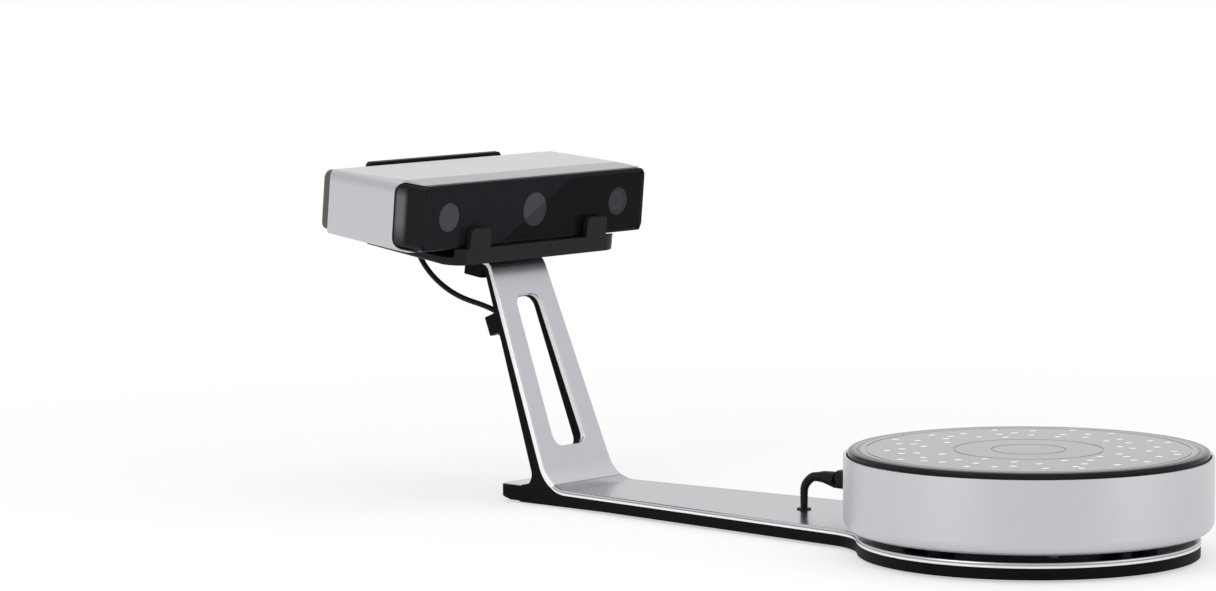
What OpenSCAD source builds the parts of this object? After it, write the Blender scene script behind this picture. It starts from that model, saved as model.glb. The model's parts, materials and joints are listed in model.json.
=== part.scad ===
// Desktop 3D scanner. A leaning stand carries the scan head in a cradle, and a flat arm holds the
// motor-driven turntable in front of it. +X runs from the stand to the turntable, +Z is up, and the
// origin is under the middle of the object. Places along X are written from the turntable's axis.

/* [Turntable] */
// Radius of the drum's outer wall
drum_r = 105; // [104:0.5:112]
// Height of the drum's lower edge
drum_low = 15.5; // [14.5:0.5:16]
// Height of the drum's upper rim
drum_top = 57.9; // [57.7:0.1:58.6]
// Thickness of the drum's wall
drum_wall = 1.8; // [1.2:0.1:2]
// Radius of the drum's rounded lower edge
drum_round = 7; // [5:0.5:9]
// Clear gap between the drum's wall and the platter
rim_gap = 0.7; // [0.5:0.1:1.5]
// Height of the platter's upper face
platter_top = 61; // [60.8:0.1:63]
// Thickness of the platter
platter_t = 4; // [3.5:0.5:5]
// Radius of the platter's spindle
spindle_r = 6; // [5:0.5:7]
// Number of marker dots on the platter
dot_count = 64; // [24:1:90]
// Radius of one marker dot
dot_r = 2.2; // [1.5:0.1:2.6]

/* [Drive] */
// Teeth of the ring gear under the platter
platter_teeth = 96; // [90:6:96]
// Teeth of each small pinion
pinion_teeth = 16; // [16:1:17]
// Teeth of the reduction wheel
wheel_teeth = 64; // [60:1:66]
// Tooth module of the platter's gear pair
platter_module = 1; // [0.95:0.05:1]
// Tooth module of the motor's gear pair
wheel_module = 0.8; // [0.75:0.05:0.85]
// Direction of the reduction gear, seen from the platter's axis
drive_angle = 50; // [40:1:60]
// Turn from that direction to the direction of the motor
motor_turn = 100; // [95:1:110]
// Radius of the motor's can
motor_r = 14; // [12:0.5:15]

/* [Base] */
// How far the base's round end lies inside the drum's wall
base_inset = 7.4; // [5:0.2:10]
// Height of the rubber feet
foot_h = 1.6; // [1.2:0.1:2.5]
// Thickness of the casting under the arm
casting_t = 6.6; // [6.2:0.1:7]
// Thickness of the silver plate and of the stand's skin
skin_t = 3.2; // [2.8:0.1:3.6]
// Half width of the arm where it meets the round end
arm_half = 45.5; // [42:0.5:48]
// Distance from the axis at which that half width is taken
arm_half_x = 150; // [145:1:160]
// Radius of the hollow corner between the arm and the round end
arm_fillet = 40; // [30:1:50]

/* [Stand] */
// Distance from the turntable's axis to the foot of the stand's front
stand_x = 339; // [334:1:341]
// Lean of the stand, in degrees from upright
lean = 21.7; // [21:0.1:22]
// Half width of the stand at its foot
neck_half = 31.4; // [30:0.2:33]
// Half width of the stand at its top
top_half = 24.5; // [24:0.1:26]
// Radius of the bend from the arm into the stand
bend_r = 21; // [18:0.5:24]
// Radius of the bend under the cradle
top_bend_r = 9.5; // [9:0.1:11]
// Thickness of the stand's casting at its foot
core_low_t = 7.9; // [7:0.1:9]
// Thickness of the stand's casting at its top
core_top_t = 3.4; // [3:0.1:4]
// Distance from the axis to the rear of the heel
heel_x = 380; // [378:1:381]
// Height of the heel's casting
heel_h = 10.6; // [10.2:0.1:10.8]

/* [Head] */
// Distance from the turntable's axis to the middle of the head's front
head_x = 377.2; // [375:0.2:379]
// Height of the middle of the head's front
head_z = 178.2; // [176:0.2:180]
// Downward pitch of the head
pitch = 5.5; // [5:0.1:6]
// Half width of the head
head_half = 101; // [99:0.5:104]
// Depth of the silver shell
shell_depth = 79; // [78:0.5:82]
// Depth of the rear cover behind the shell
cap_depth = 6; // [5.5:0.5:7]
// Distance from the head's side to the middle of each outer window
window_inset = 24; // [23:0.5:27]

/* [Cradle] */
// Half width of the cradle
cradle_half = 78; // [77:0.5:82]
// Thickness of the cradle's floor
cradle_floor = 4.6; // [4:0.1:5]
// Half width of the rear wall
rear_half = 60; // [57:0.2:63]
// Height of the rear wall above the head's lower face
rear_h = 39.8; // [38:0.2:42]

/* [Lead] */
// Diameter of the signal lead
lead_d = 3.4; // [3:0.1:3.6]

/* [Hidden] */
$fn = 64;

// How far every cut runs past the face it opens
cut = 1;
// Clearance round a fixed part in its hole, and round a turning one
fit = 0.05;
run_gap = 0.04;
// Gap that keeps neighbouring covers apart
seam = 0.2;
// Thread radius, head radius and head height of the middle-sized screws
screw_r = 1.5;
screw_head_r = 2.8;
screw_head_h = 1.6;
// The same of the small screws
small_r = 1.25;
small_head_r = 2.3;
small_head_h = 1.4;
// Width of the hexagon in a screw's head, as a share of its thread
hex_share = 0.8;

// Points, arcs and outlines

function unit(v) = v / norm(v);
function part(list, first, last) = [for (i = [first : last]) list[i]];
function back_order(list) = [for (i = [len(list) - 1 : -1 : 0]) list[i]];
function mirrored(list) = [for (p = back_order(list)) [p.x, -p.y]];

// Where the line through p along u crosses the line through q along v
function meet(p, u, q, v) =
    let (across = u.x * v.y - u.y * v.x)
    p + u * (((q.x - p.x) * v.y - (q.y - p.y) * v.x) / across);

// Arc of radius r that rounds the corner at p between a and b, in flat or in space
function corner(a, p, b, r, steps) =
    let (u = unit(a - p), v = unit(b - p), half = acos(u * v) / 2, sweep = 180 - 2 * half,
         middle = p + unit(u + v) * r / sin(half),
         from = p + u * r / tan(half) - middle, to = p + v * r / tan(half) - middle)
    [for (i = [0 : steps])
        middle + (from * sin(sweep * (1 - i / steps)) + to * sin(sweep * i / steps)) / sin(sweep)];

// Closed outline with a radius at each point, zero for a sharp one
function smooth(points, radii, steps = 6) =
    let (count = len(points))
    [for (i = [0 : count - 1])
        each radii[i] == 0
            ? [points[i]]
            : corner(points[(i + count - 1) % count], points[i], points[(i + 1) % count],
                     radii[i], steps)];

function four(r) = [r, r, r, r];
function frame_points(low, high) = [low, [high.x, low.y], high, [low.x, high.y]];

module from_axis() { translate([axis_x, 0, 0]) children(); }

module block(low, high) { translate(low) cube(high - low); }

// An outline drawn in X and Z, as thick as two halves along Y
module side_profile(points, half) {
    rotate([90, 0, 0]) translate([0, 0, -half]) linear_extrude(2 * half) polygon(points);
}

// An outline drawn in Y and Z, from one X to another
module front_profile(points, from, to) {
    translate([from, 0, 0]) rotate([90, 0, 90]) linear_extrude(to - from) polygon(points);
}

// A round bar along +X from one place to another
module bar_x(from, to, r) { translate(from) rotate([0, 90, 0]) cylinder(r = r, h = to - from.x); }

// A round bar between any two points
module rod(from, to, r) {
    way = to - from;
    translate(from) rotate([0, acos(way.z / norm(way)), atan2(way.y, way.x)])
        cylinder(r = r, h = norm(way));
}

module tube(low, high, inner, outer) {
    translate([0, 0, low]) difference() {
        cylinder(r = outer, h = high - low);
        translate([0, 0, -cut]) cylinder(r = inner, h = high - low + 2 * cut);
    }
}

module at_each(places) { for (p = places) translate(p) children(); }

// A screw whose head's lower face is at the origin and whose thread points down
module screw(r, head_r, head_h, length) {
    translate([0, 0, -length]) cylinder(r = r, h = length);
    difference() {
        cylinder(r = head_r, h = head_h);
        translate([0, 0, head_h / 2]) cylinder(r = r * hex_share, h = head_h, $fn = 6);
    }
}

// Stand: heights and directions

plate_low = foot_h + casting_t;
plate_top = plate_low + skin_t;
along = [-sin(lean), cos(lean)];
out = [cos(lean), sin(lean)];
bend = [-stand_x, plate_top];
function lean_point(x, s) = bend + out * x + along * s;

// Head: the front face's middle is the head's own origin
head_front = [-head_x, head_z];
head_top = 21.3;
head_top_front = 20.4;
head_top_rear = 19.6;
brow_depth = 20;
head_low_front = -19.8;
head_low = -22.3;
head_low_x = -15;
head_low_rear = -19.6;
taper = atan((head_low_rear - head_low) / (shell_depth + head_low_x));
function head_point(x, z) = head_front + [cos(pitch), -sin(pitch)] * x + [sin(pitch), cos(pitch)] * z;

// Cradle: its floor lies along the head's lower face
seat = head_point(head_low_x, head_low);
tilt = pitch + taper;
cradle_x = [cos(tilt), -sin(tilt)];
cradle_z = [sin(tilt), cos(tilt)];
pad_t = 2;
boss_t = 3.4;
flange_drop = pad_t + cradle_floor + boss_t;
flange_back = 22;
function cradle_point(x, z) = seat + cradle_x * x + cradle_z * z;

rear_gap = 2.9;
rear_t = 3;
rear_round = 8;
rear_inner_round = 1.8;
rear_x = -(shell_depth + cap_depth + head_low_x + rear_gap + rear_t);
reach = rear_round - cradle_point(rear_x + rear_round, rear_round - pad_t - cradle_floor).x;
axis_x = (reach - drum_r) / 2;

module head_frame() {
    translate([-head_x, 0, head_z]) rotate([0, pitch, 0]) children();
}
module cradle_frame() { translate([seat.x, 0, seat.y]) rotate([0, tilt, 0]) children(); }
module in_head() { from_axis() head_frame() children(); }
module in_cradle() { from_axis() cradle_frame() children(); }
module in_upright() { from_axis() upright_frame() children(); }
module upright_frame() { translate([bend.x, 0, bend.y]) rotate([0, -lean, 0]) children(); }

// Stand: side profile, as layers at a depth under the silver face
bend_steps = 12;
seam_step = 5;
top_steps = 8;
far = [drum_r, 0];
function base_line(d) = [0, plate_top - d];
function base_corner(d) = meet(base_line(d), [1, 0], bend - out * d, along);
function flange_corner(d) = meet(bend - out * d, along, cradle_point(0, -flange_drop - d), cradle_x);
function flange_end(d) = cradle_point(-flange_back, -flange_drop - d);
function bend_arc(d) = corner(base_line(d), base_corner(d), flange_corner(d), bend_r + d, bend_steps);
function top_arc(d) = corner(bend - out * d, flange_corner(d), flange_end(d), top_bend_r - d, top_steps);

back_low = bend - out * (skin_t + core_low_t);
back_top = flange_corner(skin_t + core_top_t);
back_way = unit(back_top - back_low);
back_round = 3.2;
heel_fillet = 7.5;
heel_corner = meet([0, heel_h], [1, 0], back_low, back_way);
heel_chamfer = [9, 2.4];
function core_t(s) = core_low_t + (core_top_t - core_low_t) * s / norm(back_top - back_low);

casting_profile = concat(
    [[far.x, foot_h], [far.x, plate_low]], bend_arc(skin_t), top_arc(skin_t),
    [flange_end(skin_t), flange_end(skin_t + core_top_t)],
    corner(flange_end(skin_t + core_top_t), back_top, back_low, back_round, top_steps),
    corner(back_top, heel_corner, [-heel_x, heel_h], heel_fillet, top_steps),
    [[-heel_x, heel_h], [-heel_x, foot_h + heel_chamfer.y], [heel_chamfer.x - heel_x, foot_h]]);
plate_profile = concat(
    [[far.x, plate_top]], part(bend_arc(0), 0, seam_step),
    back_order(part(bend_arc(skin_t), 0, seam_step)), [[far.x, plate_low]]);
skin_profile = concat(
    part(bend_arc(0), seam_step, bend_steps), top_arc(0), [flange_end(0), flange_end(skin_t)],
    back_order(top_arc(skin_t)), back_order(part(bend_arc(skin_t), seam_step, bend_steps)));

// Base: outline seen from above, with hollow corners where the arm meets the round end
base_r = drum_r - base_inset;
casting_inset = 0.3;
arm_slope = (arm_half - neck_half) / (stand_x - arm_half_x);
arm_way = unit([1, arm_slope]);
arm_normal = [-arm_way.y, arm_way.x];
heel_round = 4;
fillet_steps = 10;
fillet_sink = 0.05;
fillet_start = [-arm_half_x, arm_half] + arm_normal * arm_fillet;
fillet_run = fillet_start * arm_way;
fillet_back = sqrt(pow(fillet_run, 2) - fillet_start * fillet_start
                   + pow(base_r - fillet_sink + arm_fillet, 2));
fillet_middle = fillet_start - arm_way * (fillet_run + fillet_back);
function half_outline(inset) =
    let (middle = fillet_middle, on_disc = unit(-middle), from = -arm_normal,
         sweep = acos(from * on_disc), r = arm_fillet + inset,
         heel = [-heel_x + inset, neck_half - inset])
    concat(
        corner([heel.x, 0], heel, [-stand_x, neck_half - inset], heel_round, top_steps),
        [[-stand_x, neck_half - inset]],
        [for (i = [0 : fillet_steps])
            middle + r * (from * sin(sweep * (1 - i / fillet_steps))
                          + on_disc * sin(sweep * i / fillet_steps)) / sin(sweep)]);

module plan_solid(inset, h) {
    cylinder(r = base_r - inset, h = h, $fn = 180);
    linear_extrude(h) polygon(concat(half_outline(inset), mirrored(half_outline(inset))));
}

// Stand: outline of the leaning part seen along the arm
width_slope = (neck_half - top_half) / (flange_corner(0).y - top_bend_r / 2 - heel_h);
function half_width(z) = neck_half - width_slope * (z - heel_h);
upright_top = head_z;
module upright_outline(inset, low) {
    front_profile([[half_width(low) - inset, low], [half_width(upright_top) - inset, upright_top],
                   [inset - half_width(upright_top), upright_top], [inset - half_width(low), low]],
                  -head_x - 3 * flange_back, -arm_half_x);
}

// Slot through the stand, as places up the lean and half widths there
slot_low = 25.2;
slot_high = 122.7;
slot_low_half = 14.4;
slot_high_half = 10.8;
slot_round = 7;
slot_deep = 30;
module slot_cut(margin) {
    upright_frame() front_profile(
        smooth([[slot_low_half + margin, slot_low - margin],
                [slot_high_half + margin, slot_high + margin],
                [-slot_high_half - margin, slot_high + margin],
                [-slot_low_half - margin, slot_low - margin]],
               [slot_round, slot_round, slot_round, slot_round]),
        -slot_deep, cut);
}

// Lead: its route from the plug in the head to the plug in the drum, measured from the axis
lead_route = [
    [-462.4, -20, 175.4], [-463.0, -20, 168], [-463.2, -20, 156], [-456.4, -20, 142],
    [-439.3, -20, 128.6], [-418.8, -19.5, 120.3], [-395.8, -18, 118.6], [-358.4, -18, 20],
    [-352.7, -18, 4.9], [-325, -9, 4.9], [-305, -2, 4.9], [-285, 0, 4.9], [-163.9, 0, 4.9],
    [-163.8, 0, 25.5], [-158, 0, 31.4], [-148, 0, 32]
];
lead_bends = [0, 8, 12, 14, 20, 16, 6, 30, 5.6, 8, 8, 8, 5, 7, 7, 0];
lead_sides = 8;
lead_arc_steps = 3;
lead_r = lead_d / 2;
clip_offset = 13;

function lead_line() =
    let (last = len(lead_route) - 1)
    [for (i = [0 : last])
        each lead_bends[i] == 0
            ? [lead_route[i]]
            : corner(lead_route[i - 1], lead_route[i], lead_route[i + 1], lead_bends[i],
                     lead_arc_steps)];

// A many-sided tube swept along points, each ring turned from the one before
function turned(v, from, to) =
    let (axis = cross(from, to), c = from * to)
    v * c + cross(axis, v) + axis * (axis * v) / (1 + c);
function ways(line) =
    let (last = len(line) - 1)
    [for (i = [0 : last])
        i == 0 ? unit(line[1] - line[0])
        : i == last ? unit(line[last] - line[last - 1])
        : unit(unit(line[i] - line[i - 1]) + unit(line[i + 1] - line[i]))];
module swept_tube(line, r, sides) {
    way = ways(line);
    start = unit(cross(way[0], [0, 1, 0]));
    sides_of = [for (i = 0, side = start; i < len(line);
                     side = i + 1 < len(line) ? turned(side, way[i], way[i + 1]) : side, i = i + 1)
                    side];
    points = [for (i = [0 : len(line) - 1], k = [0 : sides - 1])
        line[i] + r * (sides_of[i] * cos(360 * k / sides)
                       + cross(way[i], sides_of[i]) * sin(360 * k / sides))];
    walls = [for (i = [0 : len(line) - 2], k = [0 : sides - 1])
        let (a = i * sides + k, b = i * sides + (k + 1) % sides)
        each [[a, a + sides, b], [b, a + sides, b + sides]]];
    polyhedron(points, concat([[for (k = [0 : sides - 1]) k]], walls,
                              [[for (k = [sides - 1 : -1 : 0]) (len(line) - 1) * sides + k]]));
}

// Channel under the arm that holds the lead, with its cover
channel_w = 4.6;
channel_top = 6.8;
cover_w = 11;
cover_t = 1.4;
channel_past = 4;
channel_line = [for (i = [8 : 12]) [lead_route[i].x, lead_route[i].y]];
lead_hole_x = lead_route[12].x;
module groove(w, low, high) {
    last = len(channel_line) - 1;
    before = [for (i = [0 : last]) unit(channel_line[max(i, 1)] - channel_line[max(i, 1) - 1])];
    after = [for (i = [0 : last]) before[min(i + 1, last)]];
    line = [for (i = [0 : last])
        channel_line[i] + (i == 0 ? -channel_past : i == last ? channel_past : 0) * before[i]];
    side = [for (i = [0 : last])
        let (way = unit(before[i] + after[i])) [-way.y, way.x] * w / 2 / (way * before[i])];
    translate([0, 0, low]) linear_extrude(high - low)
        polygon(concat([for (i = [0 : last]) line[i] + side[i]],
                       [for (i = [last : -1 : 0]) line[i] - side[i]]));
}
heel_pocket_low = [3.8, 3.5];
heel_pocket_high = [8.7, 4, 9];
rise_pocket = [7.1, 2.5];
rise_pocket_half = 2.6;
heel_hole_r = 2.6;
heel_hole_share = 0.6;

// Screws that hold the silver plate, and those that hold the stand's skin
arm_screw_shares = [[0.9, 0.7], [0.487, 0.83]];
disc_screw_share = 0.635;
plate_screw_places = [for (side = [-1, 1]) each concat(
    [for (s = arm_screw_shares) [-s.x * stand_x, side * s.y * neck_half]],
    [[0, side * disc_screw_share * base_r]])];
plate_screw_sink = 1.8;
plate_screw_bite = 2.2;
skin_screw_shares = [[0.155, 0.64], [0.49, 0.66], [1.068, 0.45]];
skin_screw_places = [for (side = [-1, 1], s = skin_screw_shares)
    [s.x * slot_high, side * s.y * neck_half]];
skin_screw_sink = 1;
skin_screw_bite = 2.2;
module at_skin_screws(sink, from_back) {
    for (p = skin_screw_places)
        upright_frame() translate([sink - skin_t - from_back * core_t(p.x), p.y, p.x])
            rotate([0, -90, 0]) children();
}

// Clamp under the flange, and the two screws that hold the cradle to it
clamp_t = 5.6;
clamp_from = -19.5;
clamp_to = -3.4;
clamp_half = 24;
clamp_round = 2.5;
cradle_screw_x = -12;
cradle_screw_y = 14;
cradle_screw_r = 2;
cradle_screw_head_r = 3.6;
cradle_screw_head_h = 2.4;
cradle_screw_length = 15;

module at_cradle_screws() {
    for (side = [-1, 1]) translate([cradle_screw_x, side * cradle_screw_y, 0]) children();
}

module stand_frame() {
    color([0.05, 0.05, 0.055]) from_axis() difference() {
        intersection() {
            side_profile(casting_profile, drum_r + cut);
            union() {
                plan_solid(casting_inset, heel_h);
                upright_outline(casting_inset, heel_h);
            }
        }
        slot_cut(casting_inset);
        groove(channel_w, 0, channel_top);
        groove(cover_w + 2 * seam, 0, foot_h + cover_t);
        block([lead_route[8].x - heel_pocket_low.x, lead_route[8].y - heel_pocket_low.y, 0],
              [lead_route[8].x, lead_route[8].y, 0] + heel_pocket_high);
        block([lead_hole_x - rise_pocket.x, -rise_pocket_half, 0],
              [lead_hole_x + rise_pocket.y, rise_pocket_half, plate_low + cut]);
        rod(lead_route[7] + (lead_route[7] - lead_route[8]) * heel_hole_share, lead_route[8],
            heel_hole_r);
        at_each(plate_screw_places) {
            cylinder(r = screw_r + fit, h = plate_low + cut);
            cylinder(r = screw_head_r + seam, h = foot_h + plate_screw_sink);
        }
        at_skin_screws(skin_screw_bite, 0) cylinder(r = screw_r + fit, h = 2 * core_low_t);
        at_skin_screws(skin_screw_sink, 1) cylinder(r = screw_head_r + seam, h = core_low_t);
        cradle_frame() at_cradle_screws() translate([0, 0, -2 * flange_drop])
            cylinder(r = cradle_screw_r + fit, h = 2 * flange_drop);
    }
}

module base_plate() {
    color([0.78, 0.78, 0.8]) from_axis() difference() {
        intersection() {
            side_profile(plate_profile, drum_r + cut);
            union() plan_solid(0, head_z);
        }
        translate([lead_hole_x, 0, 0]) cylinder(r = grommet_r + fit, h = head_z);
        at_each(plate_screw_places)
            cylinder(r = screw_r + fit, h = plate_low + plate_screw_bite + fit);
    }
}

module upright_skin() {
    color([0.78, 0.78, 0.8]) from_axis() difference() {
        intersection() {
            side_profile(skin_profile, drum_r);
            upright_outline(0, plate_low);
        }
        slot_cut(0);
        at_skin_screws(skin_screw_bite + fit, 0) cylinder(r = screw_r + fit, h = core_low_t);
        cradle_frame() at_cradle_screws() translate([0, 0, -2 * flange_drop])
            cylinder(r = cradle_screw_r + fit, h = 2 * flange_drop);
    }
}

// Silver strip on the heel, behind the casting's fillet
heel_plate_rear = 1.2;
heel_plate_front = 1.5;
heel_plate_side = 1;
module heel_plate() {
    fillet_x = corner(back_top, heel_corner, [-heel_x, heel_h], heel_fillet, top_steps)[top_steps].x;
    color([0.78, 0.78, 0.8]) from_axis() translate([0, 0, heel_h]) linear_extrude(plate_top - heel_h)
        polygon(smooth(frame_points([heel_plate_rear - heel_x, heel_plate_side - neck_half],
                                    [fillet_x - heel_plate_front, neck_half - heel_plate_side]),
                       [heel_round, 0, 0, heel_round]));
}

// Rubber under the heel and under the round end
heel_pad_from = 371;
heel_pad_to = 261;
heel_pad_half = 27;
heel_pad_round = 6;
foot_r = 9;
foot_inset = 15.6;
foot_count = 3;
module heel_pad() {
    color([0.08, 0.08, 0.08]) from_axis() linear_extrude(foot_h)
        polygon(smooth(frame_points([-heel_pad_from, -heel_pad_half], [-heel_pad_to, heel_pad_half]),
                       four(heel_pad_round)));
}

module disc_feet() {
    color([0.08, 0.08, 0.08]) from_axis() for (i = [0 : foot_count - 1])
        rotate([0, 0, 360 * i / foot_count]) translate([base_r - foot_inset, 0, 0])
            cylinder(r = foot_r, h = foot_h);
}

module channel_cover() {
    color([0.06, 0.06, 0.065]) from_axis() translate([0, 0, foot_h]) groove(cover_w, 0, cover_t);
}

module plate_screws() {
    color([0.3, 0.3, 0.31]) from_axis() at_each(plate_screw_places)
        translate([0, 0, foot_h + plate_screw_sink]) rotate([180, 0, 0])
            screw(screw_r, screw_head_r, screw_head_h,
                  casting_t - plate_screw_sink + plate_screw_bite);
}

module skin_screws() {
    color([0.3, 0.3, 0.31]) from_axis() for (p = skin_screw_places)
        upright_frame() translate([skin_screw_sink - skin_t - core_t(p.x), p.y, p.x])
            rotate([0, -90, 0])
                screw(screw_r, screw_head_r, screw_head_h,
                      core_t(p.x) - skin_screw_sink + skin_screw_bite);
}

// Clip that holds the lead behind the stand
clip_from = 103;
clip_to = 115;
clip_y = [-24.8, -12.6];
clip_rear = 18.3;
clip_round = 2;
clip_mouth = 2.6;
module lead_clip() {
    back = skin_t + core_t((clip_from + clip_to) / 2);
    color([0.06, 0.06, 0.065]) from_axis() difference() {
        upright_frame() difference() {
            translate([0, 0, clip_from]) linear_extrude(clip_to - clip_from)
                polygon(smooth(frame_points([-clip_rear, clip_y.x], [-back + cut, clip_y.y]),
                               [clip_round, 0, 0, clip_round]));
            translate([-clip_offset, lead_route[7].y, clip_from - cut])
                cylinder(r = lead_r + seam, h = clip_to - clip_from + 2 * cut);
            block([-clip_rear - cut, lead_route[7].y - clip_mouth / 2, clip_from - cut],
                  [-clip_offset, lead_route[7].y + clip_mouth / 2, clip_to + cut]);
        }
        side_profile(casting_profile, drum_r);
    }
}

grommet_r = 3.4;
grommet_gap = 0.4;
grommet_rim_r = 4.3;
grommet_rim_h = 0.8;
module lead_grommet() {
    color([0.06, 0.06, 0.06]) from_axis() translate([lead_hole_x, 0, 0]) {
        tube(plate_low, plate_top, lead_r + grommet_gap, grommet_r);
        tube(plate_top, plate_top + grommet_rim_h, lead_r + grommet_gap, grommet_rim_r);
    }
}

module clamp_block() {
    top = -flange_drop - skin_t - core_top_t;
    color([0.06, 0.06, 0.065]) in_cradle() difference() {
        translate([0, 0, top - clamp_t]) linear_extrude(clamp_t)
            polygon(smooth(frame_points([clamp_from, -clamp_half], [clamp_to, clamp_half]),
                           [clamp_round, clamp_round, clamp_round, clamp_round]));
        at_cradle_screws() translate([0, 0, top - clamp_t - cut])
            cylinder(r = cradle_screw_r + fit, h = clamp_t + 2 * cut);
    }
}

// Cradle: lip, tabs, floor and rear wall, in the frame of its floor
lip_in = 16.4;
lip_t = 3.4;
lip_top = 3.2;
lip_round = 2;
lip_corner = 15;
tab_top = 15.6;
tab_inner = 44;
tab_outer = 62;
tab_round = 3.5;
floor_side_back = 52;
floor_side_round = 3;
window_half = 40;
window_low = 2;
rail_h = 8;
notch_half = 30;
notch_from = 60;
boss_from = -21.5;
boss_to = -1.5;
boss_half = 24;
head_bolt_seat = 2.4;
module cradle_tray(low) {
    half = cradle_half;
    lip = lip_in + lip_t;
    intersection() {
        union() {
            front_profile(smooth([[-half, -pad_t], [half, -pad_t], [half, low], [-half, low]],
                                 [0, 0, lip_round, lip_round]), -floor_side_back, lip_in + cut);
            front_profile(smooth([[-half, lip_top], [-half, low], [half, low], [half, lip_top]],
                                 [0, lip_round, lip_round, 0]), lip_in, lip);
        }
        translate([0, 0, low]) linear_extrude(lip_top - low) polygon(smooth(
            [[-floor_side_back, -half], [lip, -half], [lip, half], [-floor_side_back, half]],
            [0, lip_corner, lip_corner, 0]));
    }
}

module cradle() {
    low = -pad_t - cradle_floor;
    rear_low = rear_x + rear_t;
    color([0.13, 0.13, 0.14]) in_cradle() difference() {
        union() {
            cradle_tray(low);
            front_profile(smooth([[-rear_half, -pad_t], [rear_half, -pad_t], [rear_half, low],
                                  [-rear_half, low]], [0, 0, floor_side_round, floor_side_round]),
                          rear_x + rear_round, cut - floor_side_back);
            for (side = [-1, 1])
                front_profile(smooth([[side * tab_inner, 0], [side * tab_outer, 0],
                                      [side * tab_outer, tab_top], [side * tab_inner, tab_top]],
                                     [0, 0, tab_round, tab_round]), lip_in, lip_in + lip_t);
            intersection() {
                side_profile(smooth([[rear_x, low], [rear_low + rear_round, low],
                                     [rear_low + rear_round, -pad_t], [rear_low, -pad_t],
                                     [rear_low, rear_h], [rear_x, rear_h]],
                                    [rear_round, 0, 0, rear_inner_round, 0, 0]),
                             rear_half);
                front_profile(smooth([[-rear_half, low], [rear_half, low], [rear_half, rear_h],
                                      [-rear_half, rear_h]],
                                     [floor_side_round, floor_side_round, floor_side_round,
                                      floor_side_round]), rear_x - cut, cut);
            }
            block([boss_from, -boss_half, -flange_drop], [boss_to, boss_half, -pad_t - cut]);
        }
        block([rear_x - cut, -window_half, window_low], [-notch_from, window_half, rear_h - rail_h]);
        block([rear_x - cut, -notch_half, low - cut], [-notch_from, notch_half, window_low + cut]);
        at_cradle_screws() {
            translate([0, 0, -flange_drop - cut]) cylinder(r = cradle_screw_r + fit, h = flange_drop);
            translate([0, 0, -pad_t - head_bolt_seat])
                cylinder(r = cradle_screw_head_r + seam, h = head_bolt_seat + cut);
        }
    }
}

pad_size = [18, 12];
pad_rows = [8, 44];
pad_inset = 20;
pad_places = [for (x = pad_rows, side = [-1, 1]) [-x, side * (cradle_half - pad_inset)]];
module cradle_pads() {
    color([0.09, 0.09, 0.09]) in_cradle() for (p = pad_places)
        block([p.x - pad_size.x / 2, p.y - pad_size.y / 2, -pad_t],
              [p.x + pad_size.x / 2, p.y + pad_size.y / 2, 0]);
}

module cradle_screws() {
    color([0.3, 0.3, 0.31]) in_cradle() at_cradle_screws()
        translate([0, 0, -pad_t - head_bolt_seat])
            screw(cradle_screw_r, cradle_screw_head_r, cradle_screw_head_h, cradle_screw_length);
}

module signal_lead() {
    color([0.04, 0.04, 0.04]) from_axis() swept_tube(lead_line(), lead_r, lead_sides);
}

// Plugs at the two ends of the lead
plug_z = 32;
barrel_r = 2.75;
plug_gap = 0.2;
plug_front = -drum_r - plug_gap;
plug_body = [30.8, 11, 10.8];
plug_neck_r = 3.4;
plug_neck = 12;
plug_tip = 10;
plug_round = 2.5;
module turntable_plug() {
    neck_to = plug_front - plug_body.x;
    color([0.05, 0.05, 0.05]) from_axis() {
        front_profile(smooth(frame_points([-plug_body.y / 2, plug_z - plug_body.z / 2],
                                          [plug_body.y / 2, plug_z + plug_body.z / 2]),
                             four(plug_round)), neck_to, plug_front);
        bar_x([neck_to - plug_neck, 0, plug_z], neck_to, plug_neck_r);
        bar_x([plug_front, 0, plug_z], plug_front + plug_tip, barrel_r);
    }
}

// Height of the row of sockets, and their places across the head
port_z = -3;
lead_port_y = -20;
usb_port_y = -3;
power_port_y = 13;
button_y = 27;
bay_half = 36;
bay_top = 8;
bay_step = 0.5;
bay_floor = -shell_depth - bay_step;
bay_wall = 2;
socket_rear = bay_floor + 1;
head_plug_body = [8.8, 8, 9];
head_plug_relief = [3.4, 2.6];
head_plug_reach = 7;
module head_plug() {
    from = bay_floor - plug_gap;
    color([0.05, 0.05, 0.05]) in_head() {
        block([from - head_plug_body.x, lead_port_y - head_plug_body.y / 2, port_z - head_plug_body.z / 2],
              [from, lead_port_y + head_plug_body.y / 2, port_z + head_plug_body.z / 2]);
        bar_x([from, lead_port_y, port_z], from + head_plug_reach, barrel_r);
        translate([from - head_plug_body.x / 2 - plug_gap * 2, lead_port_y,
                   port_z - head_plug_body.z / 2 - head_plug_relief.x])
            cylinder(r = head_plug_relief.y, h = head_plug_relief.x);
    }
}

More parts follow.
